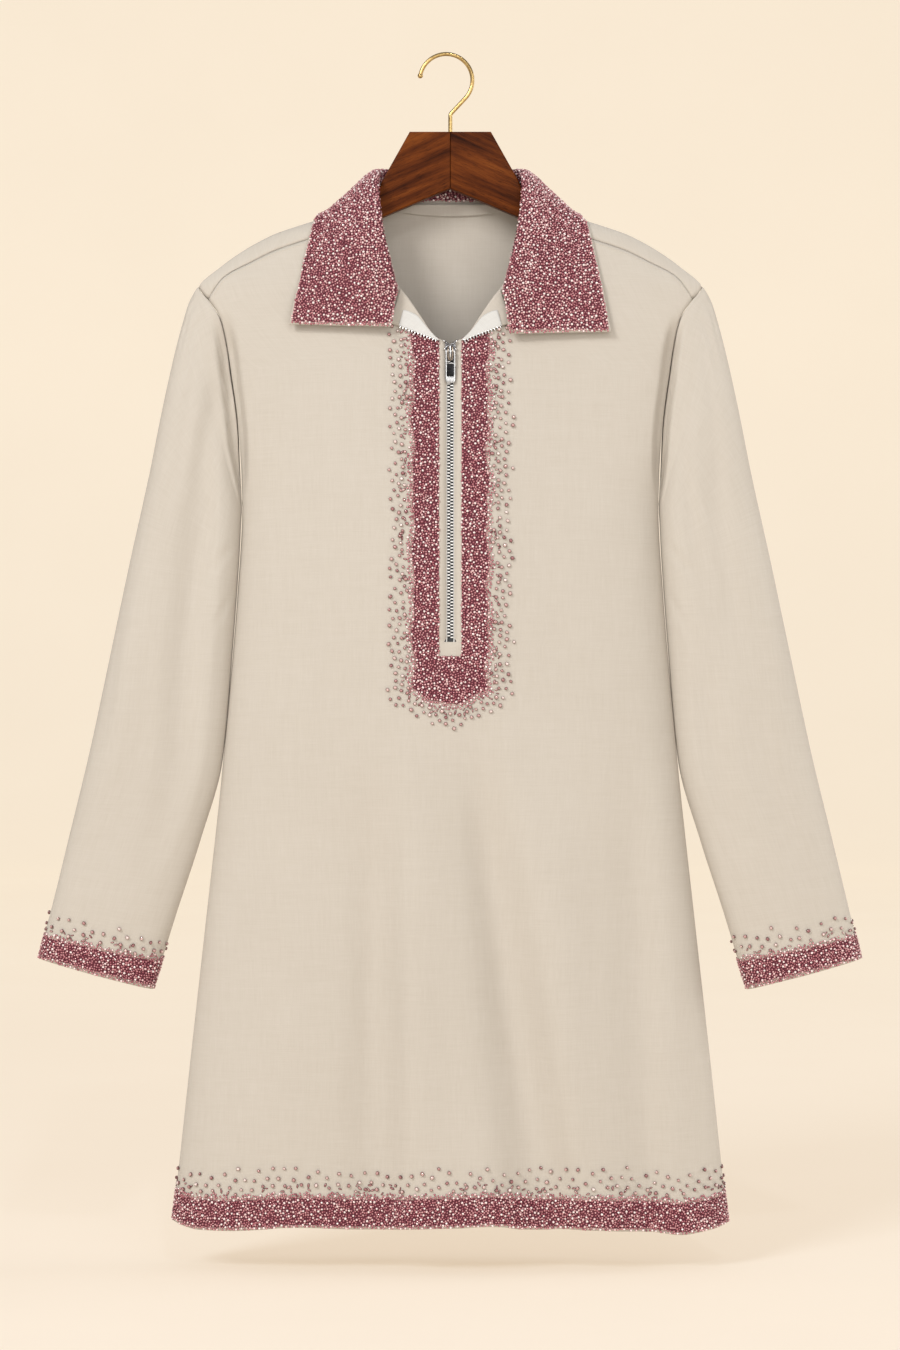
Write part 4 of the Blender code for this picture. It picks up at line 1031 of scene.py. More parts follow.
def lay_beads(name, points, normals, rng, painted_sheen=0.0):
    """Dense seed beads: small, close together, most rose and some larger and pale, partly real pearly beads
    and partly painted highlights set evenly apart. The last argument lightens them, as painted sheen."""
    count = len(points)
    radius = BEAD_RADIUS * rng.uniform(0.84, 1.12, count)
    patch = np.sin(points[:, 0] * 310 + points[:, 2] * 140) * np.sin(points[:, 2] * 270 - points[:, 0] * 90)
    tones = np.clip(rng.normal(0.40, 0.15, count) + 0.05 * patch + painted_sheen, 0.02, 0.76)
    # painted highlights: pale beads set evenly apart stand in part for the beads' highlights
    pale_highlight_beads = np.zeros(count, bool)
    pale_highlight_beads[keep_apart(points, PALE_HIGHLIGHT_BEAD_SPACING)] = True
    pale_highlight_beads &= rng.random(count) < 0.76 + painted_sheen
    tones[pale_highlight_beads] = rng.uniform(0.76, 1.10, pale_highlight_beads.sum())
    radius[pale_highlight_beads] *= PALE_HIGHLIGHT_BEAD_SIZE
    sizes = np.stack([radius * rng.uniform(0.92, 1.08, count), radius, radius * 0.88], axis=1)
    radius_out = (sizes[:, 2] * rng.uniform(0.55, 0.85, count))[:, None]
    axes = frames_from(normals + 0.15 * rng.normal(size=normals.shape), rng=rng)
    return copies(name, dome(), points + normals * radius_out, axes, sizes, ROSE_GLASS, tones)


def lay_pearls(name, points, normals, rng):
    """Scattered beads, larger and rounder."""
    count = len(points)
    radius = PEARL_RADIUS * rng.uniform(0.80, 1.10, count)
    sizes = np.stack([radius * rng.uniform(1.0, 1.2, count), radius, radius * 0.92], axis=1)
    tones = np.clip(rng.normal(0.47, 0.27, count), 0, 1)
    axes = frames_from(normals, rng=rng)
    centres = points + normals * (radius * 0.75)[:, None]
    return copies(name, unit_ball(2), centres, axes, sizes, PEARL_GLASS, tones)


def lay_drops(name, points, normals, rng):
    """Small flat drops that lie every way round where the dense beads thin out."""
    count = len(points)
    length = rng.uniform(0.0016, 0.0028, count)
    sizes = np.stack([length, length * rng.uniform(0.36, 0.52, count), np.full(count, 0.0006)], axis=1)
    tones = np.clip(rng.normal(0.22, 0.20, count), 0.0, 0.8)
    axes = frames_from(normals, rng=rng)
    return copies(name, dome(), points + normals * 0.0005, axes, sizes, PEARL_GLASS, tones)


# ---- Front and back --------------------------------------------------------------------------------
def filled_rows(rows, cells):
    """A table's rows with the steps between them filled in."""
    rows = np.array(rows, float)
    filled = []
    for start, end, count in zip(rows[:-1], rows[1:], cells):
        filled += [start + (end - start) * k / count for k in range(count)]
    return np.array(filled + [rows[-1]])


def panel_row(start, end, bend, drawn, start_side=1, end_side=1):
    """(x, z, side) of a row from start to end. bend mixes a straight row with one that keeps its
    distance to the shoulder line. That distance's root has a sign, which carries a row from the back
    face over the shoulder to the front face. drawn is the share of SHOULDER_DRAW it takes."""
    far_start = start_side * math.sqrt(max(ridge_at(start[0]) - start[1], 0))
    far_end = end_side * math.sqrt(max(ridge_at(end[0]) - end[1], 0))
    part = np.arange(PANEL_COLUMNS + 1) / PANEL_COLUMNS
    part = (1 - bend) * np.sin(part * math.pi / 2) + bend * part
    x = start[0] + (end[0] - start[0]) * part
    far = far_start + (far_end - far_start) * part
    draw_keys, draws = zip(*SHOULDER_DRAW)
    far -= np.copysign(drawn * smooth_read(draw_keys, draws, part), far)
    straight = start[1] + (end[1] - start[1]) * part
    z = (1 - bend) * straight + bend * (ridge_at(x) - far * far)
    return x, z, np.where(far >= 0, 1, -1)


def hem_waved(grid, sign):
    """The hem's waves, which die out above it."""
    turn = np.arctan2(grid[..., 0], sign * 0.14)
    near = smoothstep(HEM_Z + HEM_WAVE_REACH, HEM_Z, grid[..., 2])
    up = np.zeros_like(turn)
    out = np.zeros_like(turn)
    for number, phase, rise, push in HEM_WAVES:
        up += rise * np.sin(number * turn + phase)
        out += push * np.sin(number * turn + phase + 1.3)
    grid = grid.copy()
    side = np.abs(grid[..., 1]) / 0.045
    grid[..., 2] += up * near**2
    grid[..., 1] += -sign * out * near * np.clip(side, 0, 1)
    return grid


def seam_rolled(grid, normals, distance, depth, width):
    """Cloth that turns in towards a seam, distance away from each point."""
    return grid - normals * (depth * np.exp(-((distance / width) ** 2)))[..., None]


def seam_free(grid):
    """How freely the side seam turns in: it is stretched flat where a sleeve hangs against it."""
    height = grid[..., 2]
    return 1 - 0.9 * smoothstep(-0.375, -0.430, height) * smoothstep(-0.700, -0.600, height)


def panel_rolled(grid, normals, depth):
    """A panel turned in at its seams by up to depth, the distance to its sides and up from its hem."""
    to_side = grid_lengths(grid, 1)
    to_side = np.minimum(to_side, to_side[:, -1:] - to_side)
    up = grid_lengths(grid, 0)
    grid = seam_rolled(grid, normals, to_side, depth * seam_free(grid), SIDE_ROLL_WIDTH)
    return seam_rolled(grid, normals, up[-1:] - up, *TOP_ROLL), to_side, up


def panel_uv(grid, up):
    """The cloth's own measure on a panel: across it from its middle, and up from its hem."""
    across = grid_lengths(grid, 1)
    return across - across[:, [PANEL_COLUMNS]], up


def washed(inside, from_edge):
    """How far a panel's ground is tinted: inside is how deep a place lies in the beading."""
    return np.where(from_edge < BARE_EDGE, 0, np.clip(0.5 + (inside - WASH_INSET) / WASH_WIDTH, 0, 1))


def both_halves(rows):
    """x, z and side of a panel's rows, from those of their right halves."""
    whole = []
    for flip, halves in zip((-1, 1, 1), zip(*rows)):
        whole.append(np.array([np.append(flip * half[::-1], half) for half in halves]))
    return whole


def front_grid():
    top_z = FRONT_ROWS[-1][2]
    rows = []
    for centre_x, centre_z, side_z in filled_rows(FRONT_ROWS, FRONT_CELLS):
        if side_z <= UNDERARM_Z:
            side = (float(body_value("half_width", side_z)), side_z)
        else:
            part = max(float(armhole_part_at(side_z)), SHOULDER_SEAM_PART)
            side = tuple(float(v) for v in armhole_point(-part))
        bend = min(max((side_z - UNDERARM_Z) / (top_z - UNDERARM_Z), 0), 1) ** 2
        rows.append(panel_row((centre_x, centre_z), side, bend, bend**4))
    x, z, _ = both_halves(rows)
    return np.stack([x, -np.maximum(depth_at(x, z, -1), SEAM / 2), z], axis=2)


def back_grid():
    keys = []
    low = filled_rows([(z, z) for z in BACK_LOW_ROWS] + [(BACK_ROWS[0][1], 0)], BACK_LOW_CELLS)[:-1, 0]
    for z in low:
        if z <= UNDERARM_Z:
            keys.append(((0.0, z, 1), (float(body_value("half_width", z)), z, 1), 0.0, 0.0))
    for neck_x, z, part in filled_rows(BACK_ROWS, BACK_CELLS):
        side = -1 if part < 0 else 1
        end_x, end_z = armhole_point(part)
        bend = 1 - min(max(part, 0), 1) ** 1.5
        drawn = (min(part, 0) / SHOULDER_SEAM_PART) ** 2
        keys.append(((neck_x, z, side), (float(end_x), float(end_z), side), bend, drawn))
    rows = []
    for n, (start, end, bend, drawn) in enumerate(keys):
        x, z, side = panel_row(start, end, bend, drawn, start[2], end[2])
        if n == len(keys) - 1:
            far = np.sqrt(np.maximum(ridge_at(x) - z, 0)) - 0.0012
            z = ridge_at(x) - far * far
        rows.append((x, z, side))
    x, z, side = both_halves(rows)
    y = side * depth_at(x, z, side)
    below = np.arange(len(rows))[:, None] <= (low <= UNDERARM_Z).sum()
    y = np.where(below, np.maximum(y, SEAM / 2), y)
    return np.stack([x, y, z], axis=2), keys


def beading_depth(x, z):
    """How far a place on the front is inside the placket's beading: (soft edge, sharp edge)."""
    across = np.abs(x)
    bottom = PLACKET_POINT_Z + (PLACKET_SIDE_BOTTOM_Z - PLACKET_POINT_Z) * (across / PLACKET_HALF) ** 1.4
    bulge = 0.0012 * np.sin(x * 210 + z * 160) + 0.0012 * np.sin(z * 95 + 1.7)
    soft = np.minimum(PLACKET_HALF - across, (z - bottom) * 0.9) + bulge
    window = np.maximum(across - WINDOW_HALF, WINDOW_BOTTOM_Z - z)
    top = np.interp(across, [row[2] for row in FACING], [row[3] for row in FACING])
    sharp = np.minimum(window, top - 0.0008 - z)
    return soft, sharp


def make_front():
    grid = front_grid()
    middle = PANEL_COLUMNS
    slit_row = sum(FRONT_CELLS[:3])
    in_slit = slice(slit_row + 1, sum(FRONT_CELLS[:5]) + 1)
    grid[in_slit, middle, 0] += SLIT_LIP
    grid[in_slit, middle + 1, 0] -= SLIT_LIP
    grid, to_side, up = panel_rolled(grid, grid_normals(grid), SIDE_ROLL["front"])
    height = grid[..., 2]
    grid[..., 1] += armhole_fold(height) * smoothstep(0.0120, 0.0045, to_side)
    grid = hem_waved(grid, -1)
    dips_x, dips = zip(*HEM_DIPS)
    grid[..., 2] -= smooth_read(dips_x, dips, grid[..., 0]) * smoothstep(HEM_Z + 0.120, HEM_Z, height)
    soft, _ = beading_depth(grid[..., 0], grid[..., 2])
    rose = washed(np.maximum(soft, HEM_BAND - up), up)
    keep = lambda i, j: ~((i >= slit_row) & (j == middle))
    uv = panel_uv(grid, up)
    made = cloth_from_grid("front", grid, COTTON_FRONT, SHELL, keep=keep, uv=uv, rose=rose)
    return made, grid, up


def make_back():
    grid, keys = back_grid()
    grid, _, up = panel_rolled(grid, -grid_normals(grid), SIDE_ROLL["back"])
    grid = hem_waved(grid, 1)
    joined = np.array([key[0][0] < 1e-6 for key in keys])
    keep = lambda i, j: (j != PANEL_COLUMNS) | joined[i] & joined[i + 1]
    uv = panel_uv(grid, up)
    rose = washed(HEM_BAND - up, up)
    made = cloth_from_grid("back", grid, COTTON, SHELL, flip=True, keep=keep, uv=uv, weld=1e-5, rose=rose)
    return made, grid, up


# ---- Sleeves ---------------------------------------------------------------------------------------
def sleeve_grid():
    """Rings of a right sleeve from the armhole to the cuff, the distance of each down the sleeve, and
    the turns of their points."""
    turns = 2 * np.arange(SLEEVE_COLUMNS) / SLEEVE_COLUMNS
    parts = np.where(turns <= 1, -turns, 2 - turns)
    x, z = armhole_point(parts)
    side = np.where(parts < 0, -1, 1)
    top = np.maximum(np.cos(np.pi * parts), 0)
    y = side * depth_at(x, z, side)
    rings = [np.stack([x + ARMHOLE_SEAM, y, z - 0.7 * ARMHOLE_SEAM * top], axis=1)]
    last = len(SLEEVE) - 1
    for i, (outer_x, outer_z, inner_x, inner_z, half_depth) in enumerate(SLEEVE):
        angle = np.pi * turns
        along = (1 + np.cos(angle)) / 2
        steep = np.abs(np.sin(angle))
        trough = SLEEVE_TROUGH * math.sin(math.pi * i / last) ** 2
        rise = half_depth * steep**SLEEVE_POWER - trough * np.maximum(steep - 0.7, 0) / 0.3
        ring_x = inner_x + (outer_x - inner_x) * along
        ring_z = inner_z + (outer_z - inner_z) * along
        rings.append(np.stack([ring_x, -np.copysign(rise, np.sin(angle)), ring_z], axis=1))
    rings = np.array(rings)
    steps = np.linalg.norm(np.diff(rings, axis=0), axis=2).mean(axis=1)
    lengths = np.concatenate([[0], np.cumsum(steps)])
    count = int(round(lengths[-1] / SLEEVE_CELL))
    at = lengths[-1] * (np.arange(count + 1) / count) ** 1.22  # finer near the armhole
    return smooth_read(lengths, rings, at), at, turns


def sleeve_pushed(grid, at, turns, side, sign):
    """How far a sleeve's creases and the cuff's waves push its rings in."""
    share = at / at[-1]
    round_half = grid_lengths(grid, 1, True)[:, -1] / 2
    pushed = np.zeros(grid.shape[:2])
    handed = 1.0 if sign > 0 else 0.85
    for turn_a, along_a, turn_b, along_b, half_width, depth in SLEEVE_CREASES + OWN_CREASES[side]:
        part = (share - along_a) / (along_b - along_a)
        centre = turn_a + (turn_b - turn_a) * part
        gap = (turns[None, :] - centre[:, None] + 1) % 2 - 1
        across = np.clip(np.abs(gap) * round_half[:, None] / half_width, 0, 1)
        ends = smoothstep(-0.02, 0.32, part) * smoothstep(1.05, 0.62, part)
        pushed += handed * depth * ends[:, None] * (1 + np.cos(np.pi * across)) / 2
    against_body = np.exp(-(((turns - 1) / 0.13) ** 2))[None, :] * smoothstep(0.66, 0.52, share)[:, None]
    pushed *= 1 - 0.95 * against_body
    cuff_wave = 0.0006 * np.sin(3 * np.pi * turns + 0.7 * sign) + 0.0004 * np.sin(7 * np.pi * turns)
    return pushed + cuff_wave[None, :] * smoothstep(at[-1] - 0.10, at[-1], at)[:, None]


def make_sleeve(side, sign):
    grid, at, turns = sleeve_grid()
    normals = grid_normals(grid, closed=True)
    pushed = sleeve_pushed(grid, at, turns, side, sign)
    grid = grid - normals * pushed[..., None]
    distance = np.broadcast_to(at[:, None], grid.shape[:2])
    grid = seam_rolled(grid, normals, distance, *SLEEVE_ROLL)
    aside = grid[..., 0] - grid[:1, :, 0]
    wide = ARMHOLE_VALLEY[side] * smoothstep(-0.405, -0.330, grid[:1, :, 2])
    valley = smoothstep(wide + 0.0024, wide, aside) * smoothstep(0.020, 0.013, at)[:, None]
    grid[..., 1] += armhole_fold(grid[:1, :, 2]) * valley * (turns < 1)[None, :]
    from_cuff = at[-1] - distance
    rose = washed(CUFF_BAND - from_cuff, from_cuff)
    if sign < 0:
        grid = grid * np.array([-1, 1, 1])
    across = grid_lengths(grid, 1, True)
    across = across - across[:, -1:] / 2
    uv = (across, distance)
    flip = sign < 0
    made = cloth_from_grid(f"sleeve_{side}", grid, COTTON, SHELL, closed=True, flip=flip, uv=uv, rose=rose)
    return made, grid, from_cuff


# ---- Collar ----------------------------------------------------------------------------------------
def clear_of_body(point, gap):
    """The point, moved out where it is nearer than gap to the body's outer face."""
    for _ in range(6):
        if point[2] > RIDGE_Z[0] - 0.004:
            return point
        normal = outward(*point)
        here = math.sqrt(level(*point))
        slope = (math.sqrt(level(*(point + STEP * normal))) - here) / STEP
        distance = (here - 1) / max(slope, 1e-6)
        if distance >= gap - 1e-5:
            return point
        point = point + normal * (gap - distance)
    return point


def collar_section(i, end_drop=0.0):
    """One section of the collar, from the neck seam up to the roll and down the fall."""
    x, z, side = NECKLINE[i]
    seam = on_body(x, z, side)
    roll = np.array(COLLAR_ROLL[i])
    drop = np.array([0.0, 0.0, end_drop * max(1 - i / 5, 0)])
    quarter = np.array(COLLAR_QUARTER[i]) - drop
    edge = np.array(COLLAR_EDGE[i]) - drop
    opening = roll - seam
    opening[1] *= 0.2
    opening /= np.linalg.norm(opening)
    foot = seam + opening * 2 * SEAM + outward(*seam) * FOOT_LIFT
    section = [foot, (foot + roll) / 2, roll - (roll - foot) * 0.10]
    section.append(roll + (quarter - roll) * 0.35 + np.array([0, 0, 0.0012]))
    for k in range(FALL_STEPS + 1):
        point = quarter + (edge - quarter) * k / FALL_STEPS
        clearance = COLLAR_END_CLEARANCE if i < 2 and k < 2 else COLLAR_CLEARANCE
        section.append(clear_of_body(point, clearance))
    return section


def finer(grid, times):
    """A grid with times as many cells each way, on cubics through its points."""
    for _ in range(2):
        grid = refined(grid, times).transpose(1, 0, 2)
    return grid


def make_collar():
    right = [collar_section(i, RIGHT_END_DROP) for i in range(len(NECKLINE))]
    left = [[p * np.array([-1, 1, 1]) for p in collar_section(i)] for i in range(len(NECKLINE))]
    coarse = np.array(left[:-1] + right[::-1])
    grid = finer(coarse, COLLAR_FINER)
    normals = grid_normals(grid)
    normals = -normals if normals[:, -1, 2].mean() < 0 else normals
    down = grid_lengths(grid, 1)
    to_edge = down[:, -1:] - down
    along = grid_lengths(grid, 0)
    to_end = np.minimum(along, along[-1:] - along)
    wave = 0.0005 * np.sin(along * 55 + 1.0) + 0.0004 * np.sin(along * 120)
    grid = grid + normals * (wave * smoothstep(0.05, 0.0, to_edge))[..., None]
    rose = np.clip((np.minimum(to_edge, to_end + 0.001) - 0.0008) / 0.0012, 0, 1)
    rose = np.minimum(rose, np.clip((down - STAND_BARE) / 0.0020, 0, 1))
    facing = np.cross(grid[1:, 1:] - grid[:-1, :-1], grid[:-1, 1:] - grid[1:, :-1])[:, -1].mean(axis=0)
    uv = (along, down)
    made = cloth_from_grid("collar", grid, COTTON, COLLAR_SHELL, flip=facing[2] > 0, uv=uv, rose=rose)
    return made, grid, down, to_edge, to_end


def make_neck_tape():
    """A strip inside the back, just under the neck seam."""
    x = np.linspace(-NECK_TAPE_HALF, NECK_TAPE_HALF, 61)
    low = 0.0112 - 0.0050 * (x / NECK_TAPE_HALF) ** 2
    grid_x = np.tile(x, (8, 1))
    grid_z = NECK_TOP_Z + 0.0014 - low[None, :] * np.linspace(0, 1, 8)[:, None]
    return cloth_from_grid("neck_tape", on_body(grid_x, grid_z, 1, -0.0020), COTTON_PLAIN, TRIM_SHELL)


# ---- Facings and zip -------------------------------------------------------------------------------
def turned_strip(replaced, sign, start_parts, lift, looks):
    """A strip turned out beside the V: between start_parts across the facing and its outer edge."""
    rows = len(start_parts)
    at = np.linspace(0, rows - 1, (rows - 1) * 8 + 1)
    table = refined(FACING[:rows], 8)
    start = np.interp(at, np.arange(rows), start_parts)
    part = start[:, None] + (1 - start[:, None]) * np.linspace(0, 1, 13)[None, :]
    x = table[:, [0]] + (table[:, [2]] - table[:, [0]]) * part
    z = table[:, [1]] + (table[:, [3]] - table[:, [1]]) * part
    ripple = 0.0003 * np.sin(at * 2.3 + sign)[:, None] * np.linspace(1, 0, 13)[None, :]
    grid = on_body(sign * x, z, -1, lift) + np.stack([ripple * 0, -ripple, ripple * 0], axis=2)
    return cloth_from_grid(replaced, grid, looks, TRIM_SHELL, flip=sign > 0), grid


def tooth_shape():
    """One zip tooth: a bevelled block that reaches from its tape towards the middle."""
    work = bmesh.new()
    bmesh.ops.create_cube(work, size=2.0)
    for vertex in work.verts:
        if vertex.co.x > 0:
            vertex.co.z *= 0.72
    bmesh.ops.bevel(work, geom=work.edges[:], offset=0.28, segments=1, affect="EDGES")
    bmesh.ops.triangulate(work, faces=work.faces[:])
    return taken_from(work)


CORD_X = 0.0034
CORD_RADIUS = 0.00066
ZIP_TAPE_HALF = 0.0120
ZIP_TAPE_ENDS = (-0.2680, -0.5500)
CHAIN_TOP_Z = AXIS_Z - 0.0095
CORD_TOP_Z = AXIS_Z - 0.0080
TOOTH_X = 0.00130  # of a closed tooth's middle
PLATE_SHARP = 35  # edges of the metal plates that turn more than this, in degrees, are rounded
TOOTH_PITCH = 0.00290
TOOTH_SIZE = (0.00132, 0.00080, 0.00070)  # half lengths: across the zip, deep, along it


def make_zip_teeth():
    """The closed chain below the slider: two rows of teeth in turn, on the tapes' corded edges."""
    count = int((CHAIN_TOP_Z - (SLIT_BOTTOM_Z + 0.0005)) / TOOTH_PITCH)
    centres = []
    axes = []
    for sign in (-1, 1):
        z = CHAIN_TOP_Z - TOOTH_PITCH * (np.arange(count) + (0.5 if sign > 0 else 0.0))
        y = -depth_at(np.zeros(count), z, -1) + 0.0004
        centres.append(np.stack([np.full(count, sign * TOOTH_X), y, z], axis=1))
        inward = np.tile([-sign, 0.0, 0.0], (count, 1))
        axes.append(frames_from(np.tile([0.0, 0.0, 1.0], (count, 1)), inward))
    centres = np.concatenate(centres)
    axes = np.concatenate(axes)
    sizes = np.tile(TOOTH_SIZE, (len(centres), 1))
    made = copies("zip_teeth", tooth_shape(), centres, axes, sizes, TOOTH_NICKEL, smooth=False)
    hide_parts("zip_chain")
    return made


def make_zip_tape():
    """The two tapes of the zip behind the slit, laid edge to edge as one strip, near black as painted shade
    between the teeth.
    """
    x, z = np.meshgrid(np.linspace(-ZIP_TAPE_HALF, ZIP_TAPE_HALF, 15), np.linspace(*ZIP_TAPE_ENDS, 90))
    return cloth_from_grid("zip_tape", on_body(x, z, -1, -0.0024), TAPE_PAINTED_SHADE, TRIM_SHELL)


def make_cords():
    """The tapes' corded edges, on both sides of the teeth."""
    cords = []
    for side, sign in SIDES:
        z = np.linspace(CORD_TOP_Z, SLIT_BOTTOM_Z - 0.0010, 70)
        y = -depth_at(np.zeros(len(z)), z, -1) + 0.0006
        path = np.stack([np.full(len(z), sign * CORD_X), y, z], axis=1)
        cords.append(tube(f"zip_cord_{side}", path, CORD_RADIUS, CORD_WHITE, sides=8))
    return cords


def make_open_teeth(side, tape_grid):
    """The open teeth along a turned-out tape's lower edge."""
    edge = tape_grid[:, -1]
    lengths = path_lengths(edge)
    at = np.arange(0.0005, lengths[-1] - 0.0006, TOOTH_PITCH)
    places = along_path(edge, lengths, at)
    along = unit(along_path(edge, lengths, at + 0.001) - places)
    normals = outward(*places.T)
    down = np.cross(along, normals)
    down *= -np.sign(down[:, 2:3])
    axes = np.stack([down, np.cross(along, down), along], axis=2)
    sizes = np.tile(TOOTH_SIZE, (len(places), 1)) * np.array([1.15, 1, 0.80])
    centres = places + down * 0.0008 + normals * 0.0006
    return copies(f"zip_teeth_open_{side}", tooth_shape(), centres, axes, sizes, NICKEL, smooth=False)


def tube(name, path, radius, looks, sides=10):
    """A round wire along a path."""
    curve = bpy.data.curves.new(name, "CURVE")
    curve.dimensions = "3D"
    curve.bevel_depth = radius
    curve.bevel_resolution = max(sides // 4, 1)
    curve.use_fill_caps = True
    line = curve.splines.new("POLY")
    line.points.add(len(path) - 1)
    for point, place in zip(line.points, path):
        point.co = (*[float(v) for v in place], 1)
    line.use_smooth = True
    curve.materials.append(looks)
    return in_scene(name, curve)


def band(work, near, far):
    """Faces between two rings of points."""
    for i in range(len(near)):
        k = (i + 1) % len(near)
        work.faces.new([near[i], near[k], far[k], far[i]])


def prism(name, outline, y_front, y_back, looks, bevel, hole=None):
    """A plate with an outline in x and z, its edges rounded by bevel."""
    work = bmesh.new()
    rings = [outline] + ([hole] if hole else [])
    rings = [[[work.verts.new((x, y, z)) for x, z in ring] for y in (y_front, y_back)] for ring in rings]
    for front, back in rings:
        band(work, front, back)
    for front_and_back in zip(*rings):
        if hole:
            band(work, *front_and_back)
        else:
            work.faces.new(front_and_back[0])
    made = object_from(work, name, looks)
    rounded = made.modifiers.new("rounded", "BEVEL")
    rounded.width = bevel
    rounded.segments = 2
    rounded.limit_method = "ANGLE"
    rounded.angle_limit = math.radians(PLATE_SHARP)
    return made


def round_outline(half_width, top, bottom, radius):
    """Points of an upright rectangle with rounded corners."""
    points = []
    right, high, low = half_width - radius, top - radius, bottom + radius
    for x, z, start in ((right, high, 0), (-right, high, 90), (-right, low, 180), (right, low, 270)):
        for angle in np.radians(start + 90 * np.arange(CORNER_STEPS + 1) / CORNER_STEPS):
            points.append((x + radius * math.cos(angle), z + radius * math.sin(angle)))
    return points


SLIDER_LIFT = 0.0022  # of its face off the cloth
PLATE_THICKNESS = 0.0009
FLANGE_RADIUS = 0.0006
BAIL_RADIUS = 0.0008
LUG_RADIUS = 0.0006
WING_RADIUS = 0.0009
KNOB_RADIUS = 0.0012
WING_ROOT_Z = 0.0056  # from the hinge
WINGS = (("upper", 0.0056, 0.0092), ("lower", 0.0050, 0.0018))  # (place, x and z of the end)
# The plate's outline, (x, z from the hinge): one side from the top, and the notch at the top
PLATE_HALF = [(0.0034, 0.0088), (0.0046, 0.0072), (0.0047, 0.0030), (0.0038, -0.0040), (0.0035, -0.0085)]
PLATE_NOTCH = [(-0.0016, 0.0070), (0.0, 0.0062), (0.0016, 0.0070)]
FLANGE = (  # (x, y from the slider's face, z from the hinge)
    (0.0042, 0.0011, 0.0070),
    (0.0045, 0.0012, 0.0035),
    (0.0040, 0.0012, -0.0015),
    (0.0035, 0.0011, -0.0082),
)
BAIL = (  # (y from the slider's face, z from the hinge)
    (-0.0002, 0.0066),
    (-0.0020, 0.0056),
    (-0.0032, 0.0036),
    (-0.0036, 0.0008),
    (-0.0035, -0.0025),
    (-0.0024, -0.0054),
    (-0.0003, -0.0068),
)
LUG = (  # (x, y from the slider's face, z from the hinge), half of the loop
    (0.0013, -0.0006, 0.0050),
    (0.0019, -0.0026, 0.0030),
    (0.0022, -0.0035, -0.0010),
    (0.0021, -0.0033, -0.0048),
    (0.0012, -0.0026, -0.0074),
    (0.0000, -0.0020, -0.0083),
)


def at_hinge(outline):
    return [(x, AXIS_Z + z) for x, z in outline]


def make_slider():
    """The slider: its top plate with two shoulders, rolled side flanges and a bail for the tab."""
    front_y = -float(depth_at(0.0, AXIS_Z, -1))
    face = front_y - SLIDER_LIFT
    outline = at_hinge(PLATE_HALF + [(-x, z) for x, z in PLATE_HALF[::-1]] + PLATE_NOTCH)
    # painted shade: the plate and the wings take the darkened copy of the nickel
    plate = prism("zip_slider_plate", outline, face, face + PLATE_THICKNESS, SHADED_NICKEL, 0.00025)
    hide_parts("zip_slider")
    pieces = [plate]
    for side, sign in SIDES:
        path = [(sign * x, face + y, AXIS_Z + z) for x, y, z in FLANGE]
        pieces.append(tube(f"zip_slider_flange_{side}", path, FLANGE_RADIUS, NICKEL))
        for place, end_x, end_z in WINGS:
            path = [
                (0.0, face - 0.0006, AXIS_Z + WING_ROOT_Z),
                (sign * end_x * 0.55, face - 0.0009, AXIS_Z + WING_ROOT_Z + (end_z - WING_ROOT_Z) * 0.40),
                (sign * end_x, face - 0.0003, AXIS_Z + end_z),
            ]
            pieces.append(tube(f"zip_slider_{place}_wing_{side}", path, WING_RADIUS, SHADED_NICKEL))
            pieces.append(knob(f"zip_slider_{place}_knob_{side}", path[-1], KNOB_RADIUS, NICKEL, 2))
    path = [(0.0, face + y, AXIS_Z + z) for y, z in BAIL]
    pieces.append(tube("zip_slider_bail", refined(path, 5), BAIL_RADIUS, NICKEL))
    half = [(x, face + y, AXIS_Z + z) for x, y, z in LUG]
    path = half + [(-x, y, z) for x, y, z in half[-2::-1]]
    pieces.append(tube("zip_slider_lug", refined(path, 5), LUG_RADIUS, BRONZE))
    return pieces


CORNER_STEPS = 6
TAB_LENGTH = 0.0292
TAB_HALF_WIDTH = 0.0044
TAB_BAR = 0.0017  # height of the bar that the lug holds
TAB_RAIL = 0.0011  # width of the frame's sides
TAB_THICKNESS = 0.0014
TAB_HOLE_BOTTOM = -0.0110  # this and what follows from the hinge
TAB_POCKET_TOP = -0.0117
TAB_POCKET_BOTTOM = -0.0232
TAB_POCKET_DEPTH = 0.0006


def box_outline(half_width, top, bottom):
    return [(-half_width, bottom), (half_width, bottom), (half_width, top), (-half_width, top)]


def make_tab():
    """The pull tab: a frame with a hole for the slider's lug, and a black panel sunk in its face as painted
    shadow in its opening.
    """
    front, back = AXIS_Y - TAB_THICKNESS / 2, AXIS_Y + TAB_THICKNESS / 2
    inner = TAB_HALF_WIDTH - TAB_RAIL
    outer = round_outline(TAB_HALF_WIDTH, TAB_BAR / 2, -TAB_LENGTH, 0.0022)
    hole = round_outline(inner, -TAB_BAR / 2, TAB_POCKET_BOTTOM, 0.0006)
    frame_piece = prism("pull_tab_frame", at_hinge(outer), front, back, SHADED_TAB_NICKEL, 0.00022, at_hinge(hole))
    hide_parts("pull_tab")
    bar = at_hinge(box_outline(inner + 0.0003, TAB_HOLE_BOTTOM, TAB_POCKET_TOP))
    bar = prism("pull_tab_bar", bar, front + 0.0001, back - 0.0001, SHADED_TAB_NICKEL, 0.00015)
    panel = at_hinge(box_outline(inner + 0.0002, TAB_POCKET_TOP + 0.0002, TAB_POCKET_BOTTOM - 0.0002))
    panel = prism("pull_tab_painted_shadow", panel, front + TAB_POCKET_DEPTH, back - 0.0001, TAB_OPENING_PAINTED_SHADOW, 0.0001)
    return [frame_piece, bar, panel]


